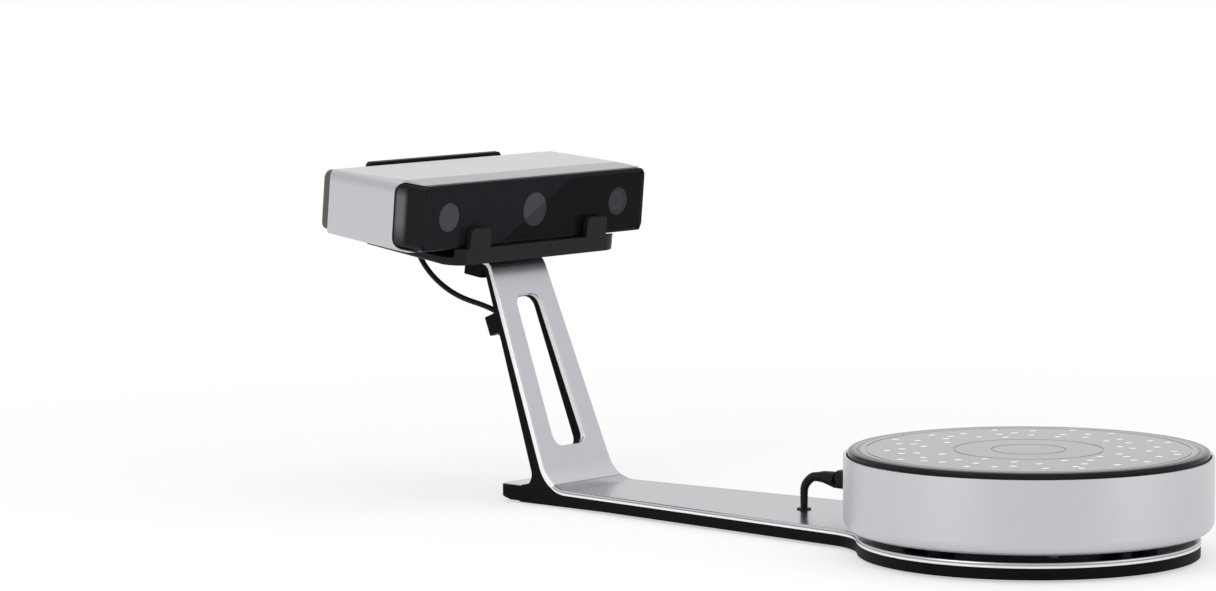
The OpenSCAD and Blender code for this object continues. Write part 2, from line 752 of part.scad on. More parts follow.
// Head: shell, bezel and front
shell_top_t = 2.9;
shell_rear_t = 2.2;
shell_in_flat = 30;
top_round = 6.5;
low_round = 5;
rim_depth = 2;
bezel_edge = 1.5;
shell_low_t = 2.2;
shell_side_t = 2.2;
bezel_depth = 24;
bezel_inset = 5.5;
bezel_half = head_half - bezel_inset;
bezel_top = 20;
bezel_low = -20.4;
bezel_round = 6.8;
bezel_corner = 5;
bezel_wall = 1.8;
bezel_rim = 0.6;
bezel_ledge = 1.6;
bezel_ledge_t = 1.2;
panel_t = 2;
panel_top = 17.6;
panel_low = -18;
panel_inset = 2.6;
panel_half = head_half - panel_inset;
shell_in_top = head_top - shell_top_t;
shell_in_rear = head_top_rear - shell_rear_t;
shell_outline = [[0, head_top_front], [-brow_depth, head_top], [-shell_depth, head_top_rear],
                 [-shell_depth, head_low_rear], [head_low_x, head_low], [0, head_low_front]];
shell_inside = [[cut, shell_in_top], [-shell_in_flat, shell_in_top],
                [-shell_depth - cut, shell_in_rear],
                [-shell_depth - cut, head_low_rear + shell_low_t],
                [head_low_x, head_low + shell_low_t], [cut, head_low_front + shell_low_t / 2]];
function bezel_side(gap) =
    smooth([[cut, bezel_top + gap], [-bezel_depth + seam - gap, bezel_top + gap],
            [-bezel_depth + seam - gap, bezel_low - gap], [cut, bezel_low - gap]],
           [0, bezel_round + gap, bezel_round + gap, 0]);

// Screws that hold the rear cover, and the bosses they bite in
boss_size = [9, 12, 8];
rear_screw_inset = 8;
rear_screw_z = [13.6, -12.6];
boss_set = 4.2;
boss_length = 8.8;
boss_rear = boss_set - shell_depth;
boss_front = boss_rear + boss_length;
module at_rear_screws() {
    for (side = [-1, 1], z = rear_screw_z)
        translate([0, side * (head_half - rear_screw_inset), z]) children();
}

module head_shell() {
    color([0.78, 0.78, 0.8]) in_head() difference() {
        union() {
            difference() {
                intersection() {
                    side_profile(shell_outline, head_half);
                    front_profile(smooth(frame_points([-head_half, head_low], [head_half, head_top]),
                                         [low_round, low_round, top_round,
                                          top_round]), -shell_depth, 0);
                }
                side_profile(shell_inside, head_half - shell_side_t);
            }
            at_rear_screws() block([boss_rear, -boss_size.y / 2, -boss_size.z / 2],
                                   [boss_front, boss_size.y / 2, boss_size.z / 2]);
        }
        block([-rim_depth - seam, -head_half - cut, head_low - cut],
              [cut, head_half + cut, head_top + cut]);
        for (side = [-1, 1]) translate([0, side * (bezel_half + head_half + cut) / 2, 0])
            side_profile(bezel_side(seam), (head_half + cut - bezel_half) / 2);
        at_rear_screws() bar_x([boss_rear - cut, 0, 0], boss_front - boss_size.x / 4, small_r + fit);
    }
}

module bezel_hollow() {
    inner = head_half - 2 * bezel_wall;
    block([-bezel_depth - cut, -inner, panel_low + bezel_wall],
          [-panel_t - bezel_ledge_t, inner, panel_top - bezel_wall]);
    block([-bezel_depth, bezel_ledge - inner, panel_low + bezel_wall + bezel_ledge],
          [cut, inner - bezel_ledge, panel_top - bezel_wall - bezel_ledge]);
    block([-panel_t - fit, -panel_half - fit, panel_low - fit],
          [cut, panel_half + fit, panel_top + fit]);
}

module front_bezel() {
    plan = smooth([[0, head_half], [0, -head_half], [-bezel_depth, -head_half], [-bezel_depth, head_half]],
                  [bezel_edge, bezel_edge, 0, 0]);
    color([0.04, 0.04, 0.045]) in_head() difference() {
        union() {
            for (side = [-1, 1]) intersection() {
                translate([0, side * (bezel_half + seam + head_half) / 2, 0])
                    side_profile(bezel_side(0), (head_half - bezel_half - seam) / 2);
                translate([0, 0, head_low]) linear_extrude(2 * head_top) polygon(plan);
                side_profile([[0, bezel_top], [-bezel_depth, bezel_top], [-bezel_depth, bezel_low],
                              [head_low_x, bezel_low], [0, head_low_front + seam]], head_half);
                front_profile(smooth(frame_points([-head_half, bezel_low], [head_half, bezel_top]),
                                     four(bezel_corner)), -bezel_depth, cut);
            }
            front_profile(smooth(frame_points([-head_half, head_low_front + seam],
                                              [head_half, bezel_top]),
                                 four(bezel_corner)), -rim_depth, 0);
            block([-bezel_depth + seam, -bezel_half - 2 * seam, panel_low - bezel_rim],
                  [0, bezel_half + 2 * seam, panel_top + bezel_rim]);
        }
        bezel_hollow();
    }
}

// Windows in the front panel
window_r = 8.8;
middle_window_r = 10.5;
window_t = 1.4;
window_set = 0.2;
window_y = head_half - window_inset;
module window_at(y, r) {
    color([0.27, 0.27, 0.29]) in_head()
        bar_x([-window_t - window_set, y, 0], -window_set, r);
}
module left_window() { window_at(-window_y, window_r); }
module projector_window() { window_at(0, middle_window_r); }
module right_window() { window_at(window_y, window_r); }

sight_r = 6.5;
module front_panel() {
    color([0.1, 0.1, 0.11]) in_head() difference() {
        front_profile(smooth(frame_points([-panel_half, panel_low], [panel_half, panel_top]),
                             four(bezel_corner - bezel_wall)), -panel_t, 0);
        for (w = [[-window_y, window_r], [0, middle_window_r], [window_y, window_r]]) {
            bar_x([-window_t - window_set, w.x, 0], cut, w.y + fit);
            bar_x([-panel_t - cut, w.x, 0], cut, sight_r);
        }
    }
}

// Optical bench across the head, with the cameras and the projector on its front
bench_rear = -28;
bench_t = 3.5;
bench_inset = 9;
bench_half = head_half - bench_inset;
bench_ear = 6;
bench_low = -15.5;
bench_top = 15.3;
camera_size = [12, 26, 26];
camera_lens_r = 8;
camera_lens_l = 6;
projector_size = [14, 40, 27];
projector_lens_r = 9.2;
projector_lens_l = 4;
bench_front = bench_rear + bench_t;
lens_seat = 3;
lens_dish_share = 0.7;
lens_dish_depth_share = 0.25;
module optical_bench() {
    color([0.6, 0.6, 0.62]) in_head() {
        block([bench_rear, -bench_half, bench_low], [bench_front, bench_half, bench_top]);
        for (side = [-1, 1]) translate([0, side * (bench_half - bench_ear), 0])
            block([bench_rear, -bench_ear, bench_top - cut], [bench_front, bench_ear, shell_in_top]);
    }
}

module camera_at(y) {
    color([0.2, 0.2, 0.22]) in_head() difference() {
        block([bench_front, y - camera_size.y / 2, -camera_size.z / 2],
              [bench_front + camera_size.x, y + camera_size.y / 2, camera_size.z / 2]);
        bar_x([bench_front + camera_size.x - lens_seat, y, 0], bench_front + camera_size.x + cut,
              camera_lens_r + fit);
    }
}
module left_camera() { camera_at(-window_y); }
module right_camera() { camera_at(window_y); }

module lens_at(from, y, r, length) {
    difference() {
        bar_x([from, y, 0], from + length, r);
        bar_x([from + length - r * lens_dish_depth_share, y, 0], from + length + cut,
              r * lens_dish_share);
    }
}

module camera_lenses() {
    color([0.12, 0.12, 0.13]) in_head() for (side = [-1, 1])
        lens_at(bench_front + camera_size.x - lens_seat, side * window_y, camera_lens_r,
                lens_seat + camera_lens_l);
}

module projector() {
    color([0.22, 0.22, 0.24]) in_head() difference() {
        block([bench_front, -projector_size.y / 2, -projector_size.z / 2],
              [bench_front + projector_size.x, projector_size.y / 2, projector_size.z / 2]);
        bar_x([bench_front + projector_size.x - lens_seat, 0, 0],
              bench_front + projector_size.x + cut, projector_lens_r + fit);
    }
}

module projector_lens() {
    color([0.12, 0.12, 0.13]) in_head()
        lens_at(bench_front + projector_size.x - lens_seat, 0, projector_lens_r,
                lens_seat + projector_lens_l);
}

// Heat sink behind the projector
sink_base = 4;
sink_depth = 24;
sink_half = 24;
fin_count = 9;
fin_t = 1.6;
module heat_sink() {
    color([0.55, 0.55, 0.57]) in_head() {
        block([bench_rear - sink_base, -sink_half, bench_low], [bench_rear, sink_half, bench_top]);
        for (i = [0 : fin_count - 1]) {
            y = -sink_half + i * (2 * sink_half - fin_t) / (fin_count - 1);
            block([bench_rear - sink_depth, y, bench_low],
                  [bench_rear - sink_base / 2, y + fin_t, bench_top]);
        }
    }
}

// Main board, on posts of the rear cover
board_set = 9.4;
board_inset = 41;
board_t = 1.6;
board_top = 15;
board_rear = board_set - shell_depth;
board_half = head_half - board_inset;
post_inset = [6, 4];
post_r = 3;
post_places = [for (side = [-1, 1], level = [-1, 1])
    [side * (board_half - post_inset.x), level * (board_top - post_inset.y)]];
chip_shares = [[-0.5, 0.27], [0.13, -0.27], [0.57, 0.33]];
chip_size = [14, 7];
module main_board() {
    color([0.05, 0.3, 0.15]) in_head() difference() {
        union() {
            block([board_rear, -board_half, -board_top], [board_rear + board_t, board_half, board_top]);
            for (share = chip_shares) translate([0, share.x * board_half, share.y * board_top])
                block([board_rear + board_t - fit, -chip_size.x / 2, -chip_size.y / 2],
                      [board_rear + 2 * board_t, chip_size.x / 2, chip_size.y / 2]);
        }
        for (p = post_places) bar_x([board_rear - cut, p.x, p.y], board_rear + 2 * board_t, small_r + fit);
    }
}

// Rear cover: a shallow lid with a tongue in the shell and an open bay for the plugs
cap_inset = 1.2;
cap_wall = 2;
tongue = 4;
tongue_gap = 0.2;
tongue_wall = 1.8;
vent_reach = [9, 12];
vent_count = 5;
vent_w = 2;
vent_pitch = 4.6;
button_r = 4.5;
counterbore = 1.6;
cap_rear = -shell_depth - cap_depth;
cap_low = head_low_rear + cap_inset;
cap_top = head_top_rear - cap_inset;
module rear_cover() {
    tongue_half = head_half - shell_side_t - tongue_gap;
    tongue_low = head_low_rear + shell_low_t + 2 * tongue_gap;
    tongue_top = shell_in_rear - tongue_gap;
    color([0.16, 0.15, 0.15]) in_head() difference() {
        union() {
            difference() {
                union() {
                    front_profile(smooth(frame_points([cap_inset - head_half, cap_low],
                                                      [head_half - cap_inset, cap_top]),
                                         four(bezel_corner)), cap_rear, -shell_depth);
                    block([-shell_depth - cut, -tongue_half, tongue_low],
                          [tongue - shell_depth, tongue_half, tongue_top]);
                }
                block([cap_rear + cap_wall, tongue_wall - tongue_half, tongue_low + tongue_wall],
                      [0, tongue_half - tongue_wall, tongue_top - tongue_wall]);
            }
            block([cap_rear, -bay_half - bay_wall, cap_low],
                  [-shell_depth, bay_half + bay_wall, bay_top + bay_wall]);
            block([-shell_depth - cut, -bay_half - bay_wall, tongue_low],
                  [bay_floor + bay_wall, bay_half + bay_wall, bay_top + bay_wall]);
            at_rear_screws() bar_x([cap_rear + cap_wall / 2, 0, 0], boss_rear - seam, small_head_r + cut);
            for (p = post_places) bar_x([cap_rear + cap_wall / 2, p.x, p.y], board_rear, post_r);
        }
        block([cap_rear - cut, -bay_half, cap_low - cut], [bay_floor, bay_half, bay_top]);
        bar_x([bay_floor - cut, lead_port_y, port_z], bay_floor + bay_wall + cut, socket_r + seam);
        usb_hole(seam);
        bar_x([bay_floor - cut, power_port_y, port_z], bay_floor + bay_wall + cut, socket_r + seam);
        bar_x([bay_floor - cut, button_y, port_z], bay_floor + bay_wall + cut, button_r + run_gap);
        at_rear_screws() {
            bar_x([cap_rear - cut, 0, 0], boss_rear + cut, small_r + fit);
            bar_x([cap_rear - cut, 0, 0], cap_rear + counterbore, small_head_r + seam);
        }
        for (side = [-1, 1], i = [0 : vent_count - 1]) {
            z = (i - (vent_count - 1) / 2) * vent_pitch;
            low = side * fan_y - (side < 0 ? vent_reach.y : vent_reach.x);
            block([cap_rear - cut, low, z - vent_w / 2],
                  [cap_rear + cap_wall + cut, low + vent_reach.x + vent_reach.y, z + vent_w / 2]);
        }
        for (p = post_places) bar_x([board_rear - post_r, p.x, p.y], board_rear + cut, small_r - fit);
    }
}

// Cooling fan behind the vents, on the turntable's left
fan_inset = 26;
fan_y = head_half - fan_inset;
fan_half = 14.5;
fan_bore_r = 13;
fan_depth = 7;
fan_stator_r = 5;
fan_stator_t = 1.4;
fan_spoke = 1.6;
fan_hub_r = 6;
fan_blade_r = 12.2;
fan_blades = 7;
fan_pin_r = 1;
fan_rear = -shell_depth - cap_depth + cap_wall;
fan_front = fan_rear + fan_depth;
module fan_frame() {
    color([0.1, 0.1, 0.1]) in_head() translate([0, fan_y, 0]) {
        difference() {
            block([fan_rear, -fan_half, -fan_half], [fan_front, fan_half, fan_half]);
            bar_x([fan_rear - cut, 0, 0], fan_front + cut, fan_bore_r);
        }
        difference() {
            union() {
                bar_x([fan_front - fan_stator_t, 0, 0], fan_front, fan_stator_r);
                block([fan_front - fan_stator_t, -fan_bore_r - cut, -fan_spoke / 2],
                      [fan_front, fan_bore_r + cut, fan_spoke / 2]);
                block([fan_front - fan_stator_t, -fan_spoke / 2, -fan_bore_r - cut],
                      [fan_front, fan_spoke / 2, fan_bore_r + cut]);
            }
            bar_x([fan_front - fan_stator_t - cut, 0, 0], fan_front + cut, fan_pin_r + run_gap);
        }
    }
}

fan_clear = 0.5;
blade_angle = 40;
blade_t = 0.9;
blade_root = 1;
module fan_rotor() {
    from = fan_rear + fan_clear;
    to = fan_front - fan_stator_t - fan_clear;
    middle = (from + to) / 2;
    color([0.14, 0.14, 0.14]) in_head() translate([0, fan_y, 0]) {
        bar_x([from, 0, 0], to, fan_hub_r);
        bar_x([from, 0, 0], fan_front, fan_pin_r);
        for (i = [0 : fan_blades - 1]) rotate([360 * i / fan_blades, 0, 0])
            intersection() {
                translate([middle, 0, fan_hub_r - blade_root]) rotate([0, 0, blade_angle])
                    block([-fan_hub_r, -blade_t / 2, 0], [fan_hub_r, blade_t / 2, fan_blade_r]);
                bar_x([from, 0, 0], to, fan_blade_r);
            }
    }
}

// Sockets and the button on the main board
socket_r = 4.2;
socket_deep = 7.5;
usb_size = [12, 10.8];
usb_mouth = [8.6, 7.8];
usb_tongue = [5.6, 2.6];
usb_tongue_set = 1;
power_pin_r = 1;
power_pin_set = 2;
pin_foot = 0.5;
module usb_hole(gap) {
    block([bay_floor - cut, usb_port_y - usb_size.x / 2 - gap, port_z - usb_size.y / 2 - gap],
          [bay_floor + bay_wall + cut, usb_port_y + usb_size.x / 2 + gap, port_z + usb_size.y / 2 + gap]);
}

module round_socket(y) {
    difference() {
        bar_x([socket_rear, y, port_z], board_rear, socket_r);
        bar_x([socket_rear - cut, y, port_z], socket_rear + socket_deep, barrel_r + fit);
    }
}
module lead_socket() {
    color([0.08, 0.08, 0.08]) in_head() round_socket(lead_port_y);
}
module power_socket() {
    color([0.08, 0.08, 0.08]) in_head() {
        round_socket(power_port_y);
        bar_x([socket_rear + power_pin_set, power_port_y, port_z], board_rear - pin_foot, power_pin_r);
    }
}
module usb_socket() {
    color([0.7, 0.7, 0.72]) in_head() {
        difference() {
            block([socket_rear, usb_port_y - usb_size.x / 2, port_z - usb_size.y / 2],
                  [board_rear, usb_port_y + usb_size.x / 2, port_z + usb_size.y / 2]);
            block([socket_rear - cut, usb_port_y - usb_mouth.x / 2, port_z - usb_mouth.y / 2],
                  [socket_rear + socket_deep, usb_port_y + usb_mouth.x / 2, port_z + usb_mouth.y / 2]);
        }
        block([socket_rear + usb_tongue_set, usb_port_y - usb_tongue.x / 2, port_z - usb_tongue.y / 2],
              [board_rear - pin_foot, usb_port_y + usb_tongue.x / 2, port_z + usb_tongue.y / 2]);
    }
}

// Button: cap in the bay's floor, collar behind it, and the switch that it presses
button_proud = 2;
button_travel = 1.2;
collar_r = 5.4;
collar_t = 1;
stem_r = 1.5;
stem_l = 0.8;
switch_size = 6;
switch_t = 3.8;
button_gap = 0.1;
button_seat = bay_floor + bay_wall + button_gap;
module power_button() {
    color([0.1, 0.1, 0.1]) in_head() translate([0, button_y, port_z]) {
        bar_x([bay_floor - button_proud, 0, 0], button_seat, button_r);
        bar_x([button_seat, 0, 0], button_seat + collar_t, collar_r);
        bar_x([button_seat, 0, 0], button_seat + collar_t + stem_l, stem_r);
    }
}
module button_switch() {
    color([0.1, 0.1, 0.1]) in_head() translate([0, button_y, port_z])
        block([board_rear - switch_t, -switch_size / 2, -switch_size / 2],
              [board_rear, switch_size / 2, switch_size / 2]);
}

module rear_screws() {
    color([0.25, 0.25, 0.26]) in_head() at_rear_screws()
        translate([cap_rear + counterbore, 0, 0]) rotate([0, -90, 0])
            screw(small_r, small_head_r, small_head_h,
                  boss_front - boss_size.x / 3 - cap_rear - counterbore);
}

// Turntable: drum, pan and feet
flange_w = 15;
pan_inset = 8;
pan_r = drum_r - pan_inset;
pan_t = 2.5;
pan_low = drum_low + drum_wall;
pan_top = pan_low + pan_t;
tower_r = 14;
tower_top = 46;
port_half = [5.2, 3.9];
drum_steps = 10;
pan_foot_r = 7;
pan_foot_inset = 25;
pan_foot_count = 4;
pan_screw_inset = 11.5;
pan_screw_place_r = drum_r - pan_screw_inset;
pan_screw_count = 4;
pan_screw_turn = 45;

module drum() {
    inner_round = drum_round - drum_wall;
    hub = [drum_r - drum_round, drum_low + drum_round];
    color([0.75, 0.75, 0.77]) from_axis() difference() {
        rotate_extrude($fn = 180) polygon(concat(
            [[drum_r - flange_w, drum_low]],
            [for (i = [0 : drum_steps])
                hub + drum_round * [sin(90 * i / drum_steps), -cos(90 * i / drum_steps)]],
            [[drum_r, drum_top], [drum_r - drum_wall, drum_top]],
            [for (i = [drum_steps : -1 : 0])
                hub + inner_round * [sin(90 * i / drum_steps), -cos(90 * i / drum_steps)]],
            [[drum_r - flange_w, pan_low]]));
        block([-drum_r - cut, -port_half.x, plug_z - port_half.y],
              [3 * drum_wall - drum_r, port_half.x, plug_z + port_half.y]);
        for (i = [0 : pan_screw_count - 1]) rotate([0, 0, pan_screw_turn + 360 * i / pan_screw_count])
            translate([pan_screw_place_r, 0, 0]) cylinder(r = screw_r + fit, h = drum_top / 2);
    }
}

board_z = 24;
board_thick = 1.6;
drive_board_inset = 10;
drive_board_l = 50;
drive_board_half = 22;
drive_board_from = drive_board_inset - drum_r;
drive_post_inset = [9, 5];
drive_post_places = [for (x = [drive_post_inset.x, drive_board_l - drive_post_inset.y], side = [-1, 1])
    [drive_board_from + x, side * (drive_board_half - drive_post_inset.y)]];
bracket_low = 40;
bracket_t = 2;
bracket_from = -20;
bracket_to = 50;
bracket_half = 18;
bracket_post_r = 3.6;
bracket_inset = 4.5;
bracket_post_places = [for (x = [bracket_from + bracket_inset, bracket_to - bracket_inset], side = [-1, 1])
    [x, side * (bracket_half - bracket_inset)]];
gear_distance = (platter_teeth + pinion_teeth) * platter_module / 2;
motor_distance = (wheel_teeth + pinion_teeth) * wheel_module / 2;
motor_angle = drive_angle + motor_turn;

module at_reduction() {
    translate(gear_distance * [cos(drive_angle), sin(drive_angle), 0]) children();
}
module at_bracket() { at_reduction() rotate([0, 0, motor_angle]) children(); }

module turntable_pan() {
    color([0.12, 0.12, 0.12]) from_axis() difference() {
        union() {
            translate([0, 0, pan_low]) cylinder(r = pan_r, h = pan_t, $fn = 120);
            translate([0, 0, pan_low]) cylinder(r = tower_r, h = tower_top - pan_low);
            at_each(drive_post_places) translate([0, 0, pan_low])
                cylinder(r = post_r, h = board_z - pan_low);
            at_bracket() at_each(bracket_post_places) translate([0, 0, pan_low])
                cylinder(r = bracket_post_r, h = bracket_low - pan_low);
        }
        translate([0, 0, pan_low - cut]) cylinder(r = bush_r + fit, h = tower_top);
        for (i = [0 : pan_screw_count - 1]) rotate([0, 0, pan_screw_turn + 360 * i / pan_screw_count])
            translate([pan_screw_place_r, 0, 0]) cylinder(r = screw_r + fit, h = drum_top / 2);
        at_bracket() at_each(bracket_post_places) translate([0, 0, bracket_low - bracket_bite - fit])
            cylinder(r = small_r + fit, h = bracket_bite + cut);
    }
}

module turntable_feet() {
    color([0.08, 0.08, 0.08]) from_axis() for (i = [0 : pan_foot_count - 1])
        rotate([0, 0, 360 * i / pan_foot_count]) translate([drum_r - pan_foot_inset, 0, plate_top])
            cylinder(r = pan_foot_r, h = pan_low - plate_top);
}

module pan_screws() {
    color([0.3, 0.3, 0.31]) from_axis() for (i = [0 : pan_screw_count - 1])
        rotate([0, 0, pan_screw_turn + 360 * i / pan_screw_count])
            translate([pan_screw_place_r, 0, drum_low]) rotate([180, 0, 0])
                screw(screw_r, screw_head_r, screw_head_h, drum_wall + pan_t);
    color([0.3, 0.3, 0.31]) from_axis() at_bracket() translate([0, 0, bracket_low + bracket_t]) {
        at_each(bracket_post_places)
            screw(small_r, small_head_r, small_head_h, bracket_t + bracket_bite);
        for (side = [-1, 1]) translate([motor_distance, side * motor_screw_y, 0])
            screw(small_r, small_head_r, small_head_h, bracket_t + motor_bite);
    }
}

// Platter with its ring marks, dots, gear and spindle
platter_round = 1.3;
platter_r = drum_r - drum_wall - rim_gap;
platter_low = platter_top - platter_t;
mark_shares = [0.9, 0.413, 0.205];
mark_r = mark_shares * platter_r;
mark_w = 0.7;
mark_deep = 0.4;
skirt_out = 4;
skirt_t = 2;
skirt_h = 4;
hub_r = 22;
hub_t = 3;
hub_boss_r = 9.6;
washer_t = 1;
bush_r = 8;
bush_flange_r = 10;
bush_flange_t = 2;
hub_screw_r = 17;
gear_screw_r = 30;
hub_bite = 1.8;
ring_r = 7.4;
ring_t = 1;
ring_groove = 1;
spindle_rise = 1;
ring_rise = 1.6;
bush_gap = 0.4;
spindle_low = pan_low + spindle_rise;
ring_low = spindle_low + ring_rise;
bush_low = ring_low + ring_t + bush_gap;
washer_top = tower_top + bush_flange_t + washer_t;

module platter() {
    steps = 6;
    hub = [platter_r - platter_round, platter_top - platter_round];
    color([0.1, 0.1, 0.11]) from_axis() difference() {
        rotate_extrude($fn = 180) polygon(concat(
            [[0, platter_low], [platter_r - skirt_out - skirt_t, platter_low],
             [platter_r - skirt_out - skirt_t, platter_low - skirt_h],
             [platter_r - skirt_out, platter_low - skirt_h], [platter_r - skirt_out, platter_low],
             [platter_r, platter_low]],
            [for (i = [0 : steps]) hub + platter_round * [cos(90 * i / steps), sin(90 * i / steps)]],
            [for (r = mark_r) each [[r + mark_w / 2, platter_top],
                                    [r + mark_w / 2, platter_top - mark_deep],
                                    [r - mark_w / 2, platter_top - mark_deep],
                                    [r - mark_w / 2, platter_top]]],
            [[0, platter_top]]));
        for (i = [0 : 3]) rotate([0, 0, 90 * i]) for (r = [hub_screw_r, gear_screw_r])
            translate([r, 0, platter_low - cut]) cylinder(r = screw_r + fit, h = cut + hub_bite + fit);
    }
}

// Dots spread by the golden angle, each nudged by a smooth wave so that no rows form
dot_shares = [0.478, 0.844];
dot_in = dot_shares.x * platter_r;
dot_out = dot_shares.y * platter_r;
dot_t = 0.12;
golden = 137.508;
dot_nudge = 2.2;
dot_angle_nudge = 4;
module marker_dots() {
    color([0.9, 0.9, 0.9]) from_axis() for (i = [0 : dot_count - 1]) {
        r = sqrt(pow(dot_in, 2) + (pow(dot_out, 2) - pow(dot_in, 2)) * (i + 0.5) / dot_count)
            + dot_nudge * sin(i * 131);
        rotate([0, 0, golden * i + dot_angle_nudge * sin(i * 77)]) translate([r, 0, platter_top])
            cylinder(r = dot_r, h = dot_t, $fn = 24);
    }
}

// Gear teeth: half the angle that a tooth fills at a radius, less the backlash
backlash = 0.16;
pressure_angle = 20;
tooth_shares = [-1.22, -0.4, 0.3, 1];
function inv(a) = tan(a) * 180 / PI - a;
function tooth_half(r, pitch_r, teeth) =
    let (base = pitch_r * cos(pressure_angle), at = max(r, base))
    90 / teeth + inv(pressure_angle) - inv(acos(base / at)) - backlash / (2 * pitch_r) * 180 / PI;
module gear_teeth(teeth, size) {
    pitch_r = teeth * size / 2;
    radii = [for (share = tooth_shares) pitch_r + share * size];
    last = len(radii) - 1;
    polygon([for (t = [0 : teeth - 1], k = [0 : 2 * last + 1])
        let (i = k <= last ? k : 2 * last + 1 - k, side = k <= last ? -1 : 1,
             a = 360 * t / teeth + side * tooth_half(radii[i], pitch_r, teeth))
        radii[i] * [cos(a), sin(a)]]);
}

gear_t = 4;
gear_gap = 1;
gear_low = platter_low - gear_t;
gear_web_r = hub_r + gear_gap;
pinion_low = 50;
pinion_gap = 0.8;
pinion_top = platter_low - pinion_gap;
wheel_low = tower_top;
gear_past = 0.45;
motor_gear_low = wheel_low - gear_past;
motor_gear_top = pinion_low + gear_past;
pin_r = 2;
shaft_r = 1.5;

module platter_gear() {
    color([0.85, 0.85, 0.82]) from_axis() difference() {
        translate([0, 0, gear_low]) rotate([0, 0, drive_angle]) linear_extrude(platter_low - gear_low)
            gear_teeth(platter_teeth, platter_module);
        translate([0, 0, gear_low - cut]) cylinder(r = gear_web_r, h = gear_t + 2 * cut);
        for (i = [0 : 3]) rotate([0, 0, 90 * i]) translate([gear_screw_r, 0, gear_low - cut])
            cylinder(r = screw_r + fit, h = gear_t + 2 * cut);
    }
}

module platter_hub() {
    color([0.7, 0.7, 0.72]) from_axis() difference() {
        union() {
            translate([0, 0, platter_low - hub_t]) cylinder(r = hub_r, h = hub_t);
            translate([0, 0, washer_top]) cylinder(r = hub_boss_r, h = platter_low - washer_top);
            translate([0, 0, spindle_low]) cylinder(r = spindle_r, h = platter_low - spindle_low);
        }
        tube(ring_low, ring_low + ring_t, spindle_r - ring_groove, spindle_r + cut);
        for (i = [0 : 3]) rotate([0, 0, 90 * i]) translate([hub_screw_r, 0, platter_low - hub_t - cut])
            cylinder(r = screw_r + fit, h = hub_t + 2 * cut);
    }
}

module hub_screws() {
    color([0.3, 0.3, 0.31]) from_axis() for (i = [0 : 3]) rotate([0, 0, 90 * i]) {
        translate([hub_screw_r, 0, platter_low - hub_t]) rotate([180, 0, 0])
            screw(screw_r, screw_head_r, screw_head_h, hub_t + hub_bite);
        translate([gear_screw_r, 0, gear_low]) rotate([180, 0, 0])
            screw(screw_r, screw_head_r, screw_head_h, platter_low - gear_low + hub_bite);
    }
}

module retaining_ring() {
    color([0.4, 0.4, 0.4]) from_axis()
        tube(ring_low, ring_low + ring_t, spindle_r - ring_groove, ring_r);
}

module spindle_bush() {
    color([0.75, 0.6, 0.3]) from_axis() {
        tube(bush_low, tower_top, spindle_r + run_gap, bush_r);
        tube(tower_top, tower_top + bush_flange_t, spindle_r + run_gap, bush_flange_r);
    }
}

module thrust_washer() {
    color([0.8, 0.8, 0.8]) from_axis()
        tube(washer_top - washer_t, washer_top, spindle_r + run_gap, bush_flange_r);
}

// Drive: bracket, motor, reduction gear and pin
bracket_bite = 6;
motor_h = 19;
motor_boss_r = 4.5;
motor_boss_h = 1.6;
bracket_hole_r = 5;
motor_screw_y = 9.5;
motor_bite = 3;
shaft_deep = 8;
module motor_bracket() {
    color([0.6, 0.6, 0.6]) from_axis() at_bracket() difference() {
        translate([0, 0, bracket_low]) linear_extrude(bracket_t)
            polygon(smooth(frame_points([bracket_from, -bracket_half], [bracket_to, bracket_half]),
                           four(bracket_hole_r)));
        translate([0, 0, bracket_low - cut]) cylinder(r = pin_r + fit, h = bracket_t + 2 * cut);
        translate([motor_distance, 0, bracket_low - cut]) {
            cylinder(r = bracket_hole_r, h = bracket_t + 2 * cut);
            for (side = [-1, 1]) translate([0, side * motor_screw_y, 0])
                cylinder(r = small_r + fit, h = bracket_t + 2 * cut);
        }
        at_each(bracket_post_places) translate([0, 0, bracket_low - cut])
            cylinder(r = small_r + fit, h = bracket_t + 2 * cut);
    }
}

module drive_motor() {
    color([0.7, 0.7, 0.7]) from_axis() at_bracket() translate([motor_distance, 0, 0]) difference() {
        union() {
            translate([0, 0, bracket_low - motor_h]) cylinder(r = motor_r, h = motor_h);
            translate([0, 0, bracket_low]) cylinder(r = motor_boss_r, h = motor_boss_h);
        }
        translate([0, 0, bracket_low - shaft_deep - fit])
            cylinder(r = shaft_r + run_gap, h = shaft_deep + motor_h);
        for (side = [-1, 1]) translate([0, side * motor_screw_y, bracket_low - motor_bite - fit])
            cylinder(r = small_r + fit, h = motor_bite + cut);
    }
}

module motor_pinion() {
    color([0.8, 0.7, 0.4]) from_axis() at_bracket() translate([motor_distance, 0, 0]) {
        translate([0, 0, motor_gear_low]) rotate([0, 0, 180 + 180 / pinion_teeth])
            linear_extrude(motor_gear_top - motor_gear_low) gear_teeth(pinion_teeth, wheel_module);
        translate([0, 0, bracket_low - shaft_deep])
            cylinder(r = shaft_r, h = motor_gear_top - bracket_low + shaft_deep);
    }
}

module reduction_gear() {
    color([0.9, 0.9, 0.88]) from_axis() at_reduction() difference() {
        union() {
            translate([0, 0, wheel_low]) rotate([0, 0, motor_angle])
                linear_extrude(pinion_low - wheel_low) gear_teeth(wheel_teeth, wheel_module);
            translate([0, 0, pinion_low - fit]) rotate([0, 0, drive_angle + 180 + 180 / pinion_teeth])
                linear_extrude(pinion_top - pinion_low + fit) gear_teeth(pinion_teeth, platter_module);
        }
        translate([0, 0, wheel_low - cut]) cylinder(r = pin_r + run_gap, h = platter_top);
    }
}

